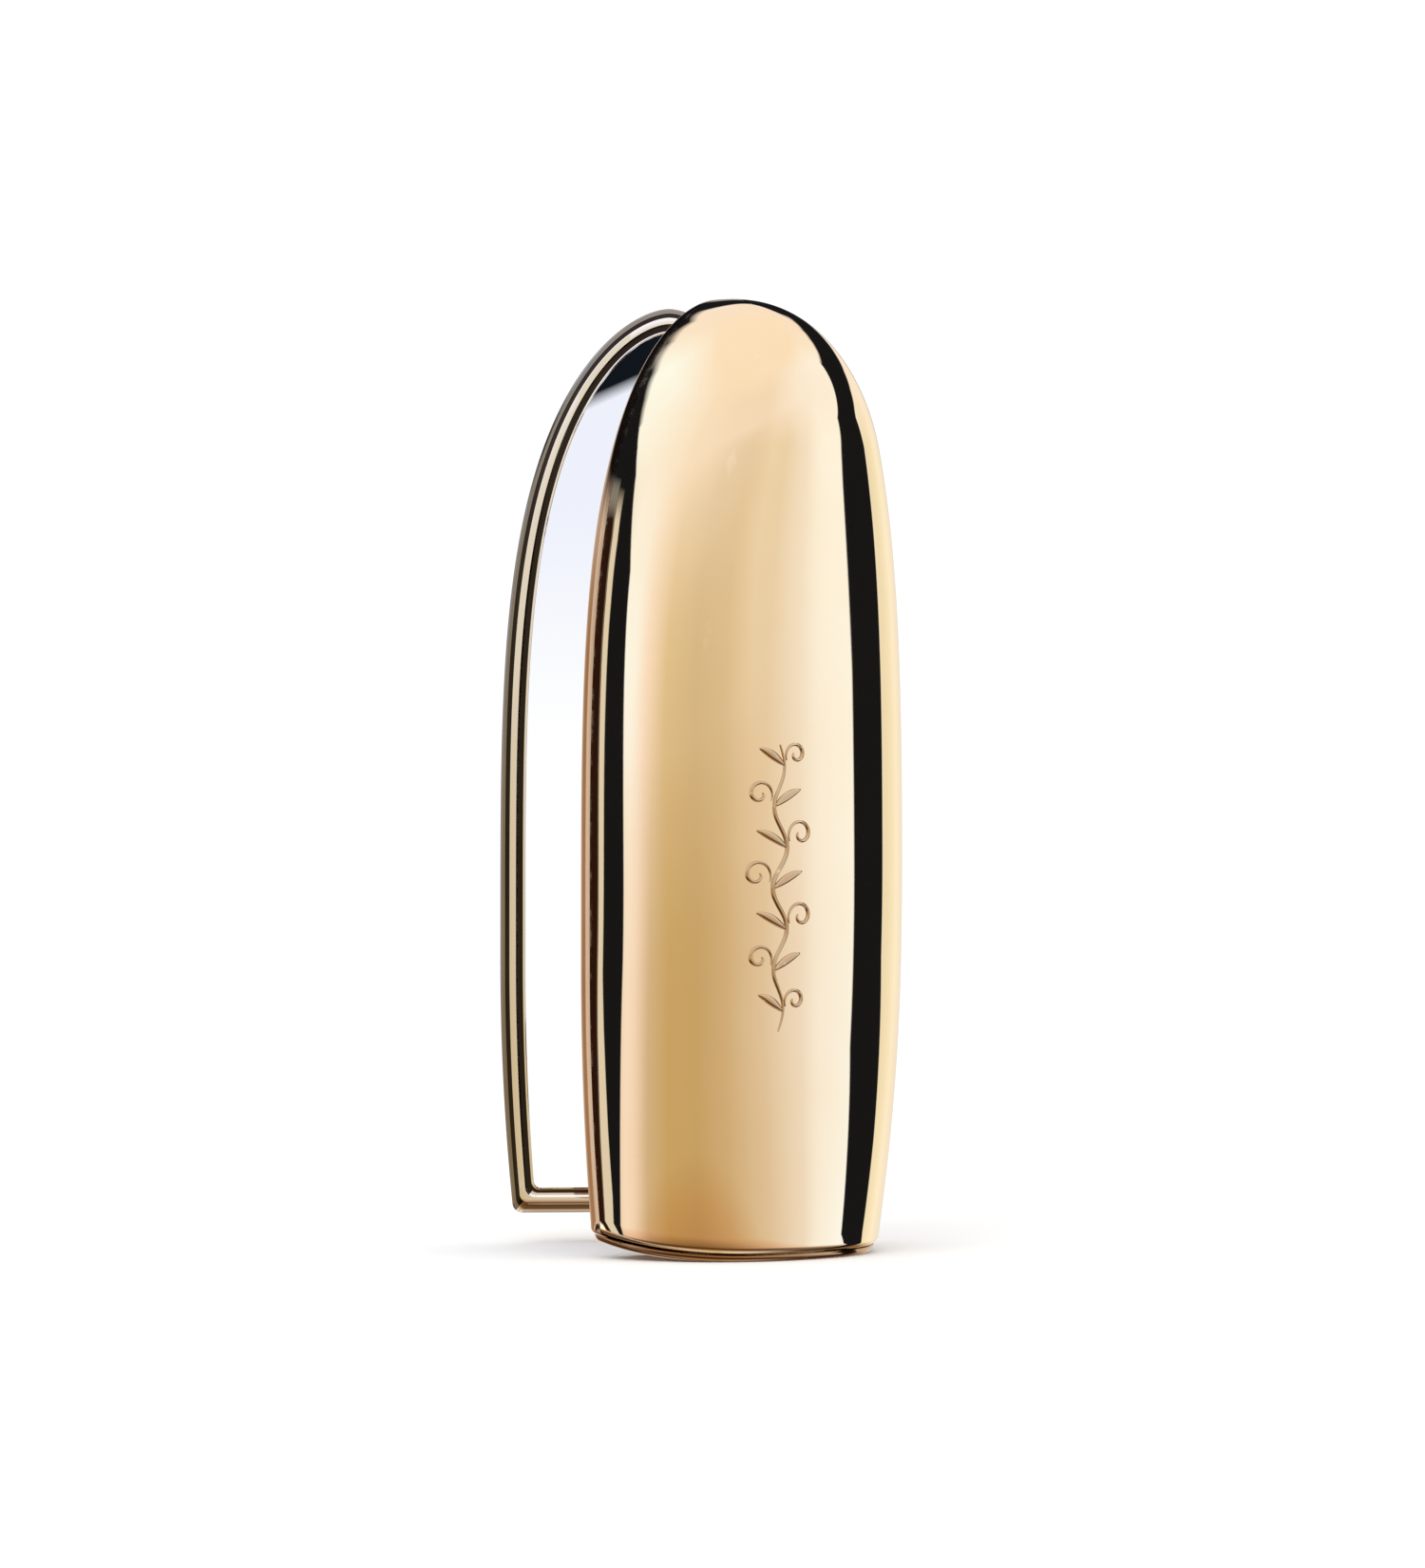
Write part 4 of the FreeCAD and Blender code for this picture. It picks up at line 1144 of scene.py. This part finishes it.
def directions(n, vector):
    """Degrees round from the camera, degrees above level, and share toward the camera, of a direction."""
    split = n.new("ShaderNodeSeparateXYZ")
    n.join(vector, split.inputs[0])
    x, y, z = split.outputs
    forward = n.maths("ADD", n.maths("MULTIPLY", x, TOWARD_CAMERA.x), n.maths("MULTIPLY", y, TOWARD_CAMERA.y))
    left = n.maths("SUBTRACT", n.maths("MULTIPLY", y, TOWARD_CAMERA.x), n.maths("MULTIPLY", x, TOWARD_CAMERA.y))
    around = n.maths("MULTIPLY", n.maths("ARCTAN2", left, forward), 180 / math.pi)
    above = n.maths("MULTIPLY", n.maths("ARCSINE", z), 180 / math.pi)
    return around, above, forward


def window(n, value, low, high, soft):
    """1 between two values and 0 outside, with soft edges of the given width."""
    return n.maths("MULTIPLY", n.span(value, low, low + soft), n.span(value, high - soft, high, 1.0, 0.0))


def share_by_height(n, above, stops):
    """A share from 0 to 1 that follows the degrees above level."""
    return ramp(n, above, -20, 30, [(at, (share, share, share)) for at, share in stops])


def edge_by_height(n, above, stops):
    """Degrees round of an edge that leans with the degrees above level."""
    shares = [(at, (degrees / 400 + 0.5,) * 3) for at, degrees in stops]
    return n.maths("MULTIPLY", n.maths("SUBTRACT", ramp(n, above, -20, 55, shares), 0.5), 400.0)


def face_panels(n, around, above):
    """The bright panels, from three bands one above the other."""
    bands = [ramp(n, around, -180, 180, BEHIND_LEFT + LOW_BAND + BEHIND_RIGHT),
             ramp(n, around, -180, 180, BEHIND_LEFT + LEVEL_BAND + BEHIND_RIGHT),
             ramp(n, around, -180, 180, HIGH_BAND)]
    panels = n.mix(share_by_height(n, above, LOW_TO_LEVEL), bands[0], bands[1])
    panels = n.mix(share_by_height(n, above, LEVEL_TO_HIGH), panels, bands[2])
    panels = n.mix(n.span(above, 42, 58), panels, ROOF)
    return multiply(n, panels, ramp(n, above, -90, 90, GROUND))


def height_by_turn(n, around, stops):
    """Degrees above level of an edge that changes with the degrees round."""
    shares = [(at, (degrees / 100 + 0.5,) * 3) for at, degrees in stops]
    return n.maths("MULTIPLY", n.maths("SUBTRACT", ramp(n, around, -180, 180, shares), 0.5), 100.0)


def studio_map(n):
    """Bright panels and black flags around the object, as its mirror-bright faces see them."""
    around, above, forward = directions(n, n.new("ShaderNodeTexCoord").outputs["Generated"])
    panels = face_panels(n, around, above)
    over_top = n.maths("SUBTRACT", above, height_by_turn(n, around, DARK_TOP))
    under_top = n.span(over_top, -0.8, 0.8, 1.0, 0.0)
    past_right = n.maths("SUBTRACT", around, edge_by_height(n, above, RIGHT_FLAG))
    past_end = n.maths("SUBTRACT", around, edge_by_height(n, above, RIGHT_END))
    over_strip = n.maths("SUBTRACT", above, height_by_turn(n, around, STRIP_TOP))
    strip = n.maths("MULTIPLY", n.span(past_end, -0.35, 0.35), n.span(over_strip, -0.6, 0.6, 1.0, 0.0))
    right_dark = n.maths("MULTIPLY", n.span(past_right, 0.0, 0.7), n.maths("SUBTRACT", 1.0, strip))
    past_left = n.maths("SUBTRACT", around, edge_by_height(n, above, LEFT_FLAG))
    past_gap = n.maths("SUBTRACT", around, edge_by_height(n, above, GAP))
    open_side = n.maths("MAXIMUM", n.span(past_gap, 2.7, 3.1), n.span(above, 16, 22))
    left_dark = n.maths("MULTIPLY", n.span(past_left, -0.5, 0.3, 1.0, 0.0), open_side)
    dark_around = n.maths("MULTIPLY", n.maths("MAXIMUM", left_dark, right_dark), under_top)
    behind = n.maths("MULTIPLY", n.span(forward, -0.98, -0.94, 1.0, 0.0), window(n, above, 3, 60, 9))
    behind = n.maths("MULTIPLY", behind, under_top)
    line = n.maths("MULTIPLY", n.span(past_gap, -3.0, -2.0), n.span(past_gap, -0.9, -0.4, 1.0, 0.0))
    dark = n.maths("MULTIPLY", n.span(past_gap, -0.1, 0.1), n.span(past_gap, 2.7, 3.1, 1.0, 0.0))
    cream_end = n.maths("SUBTRACT", past_gap, n.span(above, -12, -2, 9.0, 5.7))
    cream = n.maths("MULTIPLY", n.span(past_gap, 3.1, 3.4), n.span(cream_end, -0.2, 0.2, 1.0, 0.0))
    low = n.span(above, 17, 21, 1.0, 0.0)
    panels = n.mix(dark_around, panels, BLACK)
    panels = n.mix(behind, panels, BROWN)
    panels = n.mix(n.maths("MULTIPLY", line, low), panels, LINE)
    panels = n.mix(n.maths("MULTIPLY", dark, low), panels, DARK)
    return n.mix(n.maths("MULTIPLY", cream, low), panels, CREAM)


def build_world():
    """White for the eye, soft white for lighting, and the studio map for reflections."""
    n = world_nodes()
    path = n.new("ShaderNodeLightPath")
    sky = n.mix(path.outputs["Is Glossy Ray"], SOFT_WHITE, studio_map(n))
    sky = n.mix(path.outputs["Is Camera Ray"], sky, SOFT_WHITE)
    background = n.new("ShaderNodeBackground")
    n.join(sky, background.inputs["Color"])
    output = n.new("ShaderNodeOutputWorld")
    n.join(background.outputs[0], output.inputs["Surface"])


def build_floor():
    """Plain pale floor, which mirror faces don't see."""
    bpy.ops.mesh.primitive_circle_add(vertices=96, radius=1.2, fill_type="NGON", location=(0, 0, -0.00002))
    floor = bpy.context.object
    floor.name = "floor"
    n = Nodes("floor_pale").set(Roughness=0.9)
    n.drive(n.mix(n.span(n.noise(0.01), 0.3, 0.7), (0.94, 0.94, 0.945), (0.96, 0.96, 0.96)), "Base Color")
    n.shader.inputs["Specular IOR Level"].default_value = 0.0
    floor.data.materials.append(n.material)
    floor.visible_glossy = False


def area_light(name, place, power, size):
    light = bpy.data.lights.new(name, "AREA")
    light.energy = power
    light.size = size
    light.shape = "DISK"
    thing = bpy.data.objects.new(name, light)
    bpy.context.scene.collection.objects.link(thing)
    thing.location = place
    aim = Vector((0, 0, CAMERA_HEIGHT * MM)) - Vector(place)
    thing.rotation_mode = "QUATERNION"
    thing.rotation_quaternion = aim.to_track_quat("-Z", "Y")
    thing.visible_glossy = False


def build_lights():
    """A large soft key above the camera's left and a fill from its right."""
    area_light("key", TOWARD_CAMERA * 0.5 - CAMERA_RIGHT * 0.35 + Vector((0, 0, 0.6)), 1.6, 0.7)
    area_light("fill", TOWARD_CAMERA * 0.3 + CAMERA_RIGHT * 0.55 + Vector((0, 0, 0.3)), 0.6, 0.7)


def build_camera():
    camera = bpy.data.cameras.new("camera")
    camera.sensor_fit = "HORIZONTAL"
    camera.sensor_width = 36
    camera.lens = FOCAL_LENGTH
    camera.clip_start = 0.01
    camera.clip_end = 20
    thing = bpy.data.objects.new("camera", camera)
    bpy.context.scene.collection.objects.link(thing)
    place = TOWARD_CAMERA * CAMERA_FAR - CAMERA_RIGHT * CAMERA_ASIDE
    thing.location = Vector((place.x, place.y, CAMERA_HEIGHT)) * MM
    thing.rotation_mode = "QUATERNION"
    thing.rotation_quaternion = (-TOWARD_CAMERA).to_track_quat("-Z", "Y")
    bpy.context.scene.camera = thing


# ---- assembly -------------------------------------------------------------------------------------

def build_materials():
    makers = (case_gold, frame_gold, mirror_silver, mirror_tape, chassis_plastic, liner_plastic, hinge_steel,
              spring_steel, catch_metal, refill_gold, cam_plastic, tube_plastic, seal_rubber, weight_steel,
              disc_film, cup_plastic)
    materials = {maker.__name__: maker() for maker in makers}
    materials["lipstick_red"] = lipstick_wax()
    return materials


def build_case(materials):
    """The polished pieces of the case."""
    gold = materials["case_gold"]
    rim = materials["frame_gold"]
    glass = materials["mirror_silver"]
    finish_piece(build_front_shell(), "case", "front_shell", "case_gold", gold)
    finish_piece(build_ornament(), "case", None, "case_gold", ornament_gold())
    tray = build_tray("front_tray_rim", case_rim_profile(), body_depth, PARTING_Y, -1, shell_underside)
    finish_piece(tray, "case", "front_tray", "frame_gold", tray_gold())
    cut_hinge_channel(tray)
    finish_piece(build_mirror("front_mirror_glass", body_depth, PARTING_Y, -1),
                 "case", "front_mirror", "mirror_silver", glass)
    finish_piece(build_rear_shell(), "lid", "rear_shell", "case_gold", gold)
    # The lid's rim is gold, with painted dark and grey reflection bands and painted shade round its mirror.
    lid_rim = build_tray("rear_tray_rim", lid_rim_profile(), lid_depth, LID_FACE_Y, 1, level_floor, opened)
    finish_piece(lid_rim, "lid", "rear_tray", "frame_gold", rim, painted_dark_band_metal(), painted_grey_band_metal())
    cut_hinge_channel(lid_rim)
    finish_piece(build_mirror("rear_mirror_glass", lid_depth, LID_FACE_Y, 1, opened),
                 "lid", "rear_mirror", "mirror_silver", glass)
    finish_piece(build_foot(), "base", "foot_plate", "case_gold", foot_gold())


MATERIALS = build_materials()
build_case(MATERIALS)
dress_nodes(MATERIALS)
build_world()
build_floor()
build_lights()
build_camera()
bpy.context.scene.view_settings.view_transform = "Standard"
